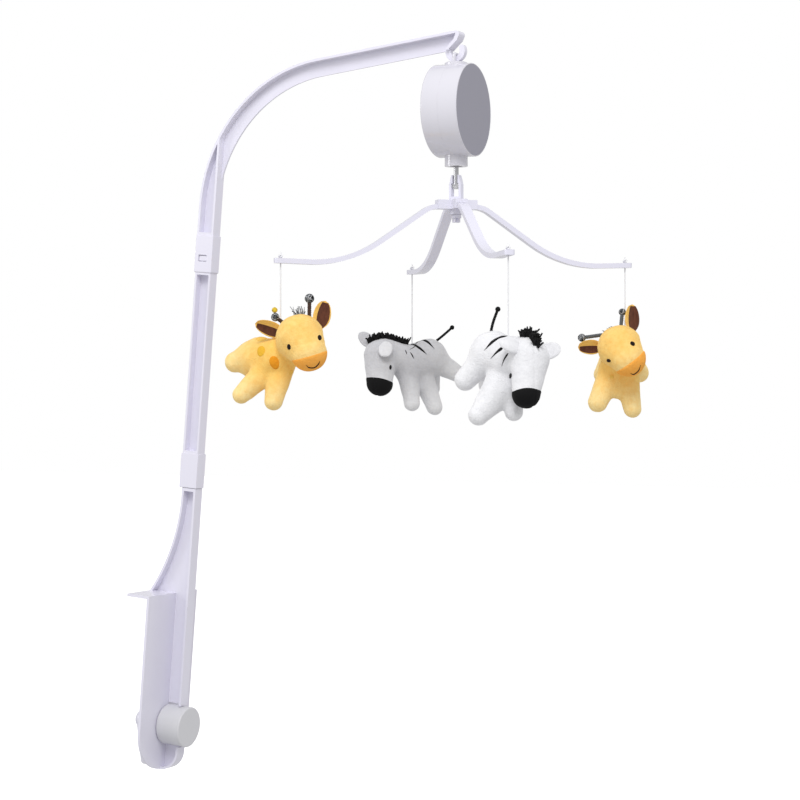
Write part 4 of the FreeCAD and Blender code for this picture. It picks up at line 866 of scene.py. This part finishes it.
def sewn_surface(piece, place):
    """The surface of a piece in its place, in the toy's own millimetres."""
    flat = piece.data.copy()
    flat.transform(place.inverted())
    surface = Surface(flat)
    bpy.data.meshes.remove(flat)
    return surface


def add_skin(name, mesh, material, place):
    mesh.materials.clear()
    mesh.materials.append(material)
    mesh.transform(place)
    mesh.name = name + "_skin"
    skin = bpy.data.objects.new(name + "_skin", mesh)
    scene.collection.objects.link(skin)
    settle(skin, name)
    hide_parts(name + "_body")


def add_tail(name, line, place, chance, radius, pitch, ball, materials):
    """A twisted cord that ends in a wound ball of its last material."""
    path = smooth_path(line, 30)
    tail = Loose()
    tail.twisted(path, radius, 3, pitch)
    tail.wound_ball(path[-1], ball, chance, 14, (len(materials) - 1,))
    piece = tail.make(name + "_tail_cord", place, materials)
    settle(piece, name)
    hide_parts(name + "_tail")


def add_giraffe_details(name, toy, place, surface, muzzle_surface, chance):
    """Smile, spots, horns, mane, tuft and tail."""
    mouth = Loose()
    add_ribbon(mouth, muzzle_surface, toy["smile"], 0.35)
    settle(mouth.make(name + "_smile", place, [dark_thread]), name)

    spots = Loose()
    for x, z, wide, high, tilt, look in toy["spots"]:
        for side in (-1, 1) if look < 2 else (-1,):
            add_dome(spots, surface, (x, z), (wide, high), -side * tilt, 0.35, side, 0.12, look)
    piece = spots.make(name + "_spots", place, [mustard_spot, orange_spot, pale_spot])
    settle(piece, name)

    horns = Loose()
    for start, end, radius, ball in toy["horns"]:
        line = smooth_path([start, (np.array(start) + end) / 2, end], 26)
        horns.twisted(line, radius, 3, 5.0, toy["stem"])
        horns.wound_ball(end, ball, chance, 18, (1, 2, 3, 1))
    piece = horns.make(name + "_horn_yarn", place, [brown_yarn, grey_yarn, black_yarn, light_yarn])
    settle(piece, name)
    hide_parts(name + "_horns")

    fringe = Loose()
    add_fringe(fringe, surface, toy["fringe"], 22, toy["fringe_length"], toy["fringe_lean"],
               chance, (0, 1, 1, 2), 1.4, 0.42)
    piece = fringe.make(name + "_mane_yarn", place, [grey_yarn, light_yarn, black_yarn])
    settle(piece, name)

    if "tuft" in toy:
        tuft = Loose()
        tuft.wound_ball(toy["tuft"], 2.5, chance, 14)
        settle(tuft.make(name + "_yellow_tuft", place, [yellow_yarn]), name)
    add_tail(name, toy["tail"], place, chance, 1.35, 5.0, 2.3, [yellow_yarn, brown_yarn])


def add_zebra_details(name, toy, place, surface, chance):
    """Stripes, mane and tail."""
    stripes = Loose()
    for line in toy["stripes"]:
        for side in (-1, 1):
            add_ribbon(stripes, surface, line, 0.3, side)
    settle(stripes.make(name + "_stripes", place, [black_yarn]), name)

    fringe = Loose()
    fringe.tube([surface.near(p)[0] for p in smooth_path(toy["fringe"], 20)], 2.1, 10)
    add_fringe(fringe, surface, toy["fringe"], 170, 5.6, toy["fringe_lean"],
               chance, (0,), 2.8, 0.72)
    piece = fringe.make(name + "_mane_yarn", place, [black_yarn])
    settle(piece, name)
    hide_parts(name + "_mane")
    add_tail(name, toy["tail"], place, chance, 1.3, 4.5, 2.2, [black_yarn])


def add_knot(name, angle):
    """The string's knot on its spider arm, with its standing part and its short end."""
    x, y = tip(angle)
    centre = Vector((x, y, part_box(name + "_knot")[0].z + 0.0022))
    knot = Loose()
    line = []
    for t in np.linspace(0, 2 * math.pi, 60):
        ring = 1.15 + 0.45 * math.cos(3 * t)
        line.append((ring * math.cos(2 * t), ring * math.sin(2 * t), 0.9 * math.sin(3 * t)))
    knot.tube(line, 0.6, 7)
    knot.tube(smooth_path([(0, 0, -2.0), (0, 0, -0.5), (0.3, 0.4, 1.2)], 8), 0.6, 7)
    knot.tube(smooth_path([(0.4, 0.6, 0.6), (-0.3, 1.6, 2.2), (-1.4, 2.8, 3.4)], 10), 0.58, 7)
    place = Matrix.Translation(centre) @ Matrix.Scale(MM, 4)
    piece = knot.make(name + "_knot_thread", place, [cotton])
    settle(piece, "spider")
    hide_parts(name + "_knot")


def make_toy(name, toy):
    chance = random.Random(name)
    place = toy_frame(toy)
    giraffe = name.startswith("giraffe")
    mesh = make_skin(name, toy["limbs"], toy["seams"])
    surface = Surface(mesh)

    field = muzzle_field(toy["limbs"], toy["muzzle"])
    muzzle = cut_patch(name + "_muzzle", mesh, field, 0.5, place, toy["muzzle_cloth"])
    settle(muzzle, name)
    add_skin(name, mesh, toy["skin"], place)

    eyes = Loose()
    for x, z, wide, high, tilt in toy["eyes"]:
        add_dome(eyes, surface, (x, z), (wide, high), tilt, 0.8)
    piece = eyes.make(name + "_eyes", place, [dark_thread if giraffe else black_yarn])
    settle(piece, name)

    ears = Loose()
    for ear in toy["ears"]:
        add_ear(ears, *ear)
    # a zebra's lining is white plush painted grey as shade
    lining = brown_suede if giraffe else ear_lining_painted_shade
    piece = ears.make(name + "_ears", place, [toy["skin"], lining])
    settle(piece, name)

    if giraffe:
        add_giraffe_details(name, toy, place, surface, sewn_surface(muzzle, place), chance)
    else:
        add_zebra_details(name, toy, place, surface, chance)
    add_knot(name, toy["angle"])


# ---------------------------------------------------------------- studio
def add_light(name, place, size, power):
    data = bpy.data.lights.new(name, "AREA")
    data.shape = "DISK"
    data.size = size
    data.energy = power
    lamp = bpy.data.objects.new(name, data)
    lamp.location = place
    lamp.rotation_euler = (Vector(LIGHT_AIM) - Vector(place)).to_track_quat("-Z", "Y").to_euler()
    scene.collection.objects.link(lamp)


def add_studio():
    world = bpy.data.worlds.new("studio")
    scene.world = world
    world.use_nodes = True
    tree = world.node_tree
    tree.nodes["Background"].inputs["Color"].default_value = (1, 1, 1, 1)
    rays = tree.nodes.new("ShaderNodeLightPath")
    level = tree.nodes.new("ShaderNodeMapRange")
    level.inputs["To Min"].default_value = WORLD_LIGHT
    level.inputs["To Max"].default_value = 1.0
    tree.links.new(rays.outputs["Is Camera Ray"], level.inputs["Value"])
    tree.links.new(level.outputs["Result"], tree.nodes["Background"].inputs["Strength"])
    scene.view_settings.view_transform = "Standard"
    add_light("key", (1.0, -1.5, 1.9), 1.1, 31)
    add_light("side", (-1.4, -1.3, 0.7), 0.7, 6)
    mesh = bpy.data.meshes.new("floor")
    corners = ((-1, -1), (1, -1), (1, 1), (-1, 1))
    points = [(FLOOR_HALF * u, FLOOR_HALF * v, FLOOR_Z) for u, v in corners]
    mesh.from_pydata(points, [], [(0, 1, 2, 3)])
    material, _, shader = new_material("floor_white", 0.9)
    shader.inputs["Base Color"].default_value = (0.9, 0.9, 0.9, 1)
    shader.inputs["Emission Color"].default_value = (1, 1, 1, 1)
    shader.inputs["Emission Strength"].default_value = FLOOR_GLOW
    mesh.materials.append(material)
    floor = bpy.data.objects.new("floor", mesh)
    floor.visible_diffuse = False
    floor.visible_glossy = False
    scene.collection.objects.link(floor)


add_camera()
for toy_name, toy_facts in TOYS.items():
    add_string(toy_name, toy_facts["angle"], toy_facts["hang"][1])
dress_cad_nodes()
for toy_name, toy_facts in TOYS.items():
    make_toy(toy_name, toy_facts)
add_studio()
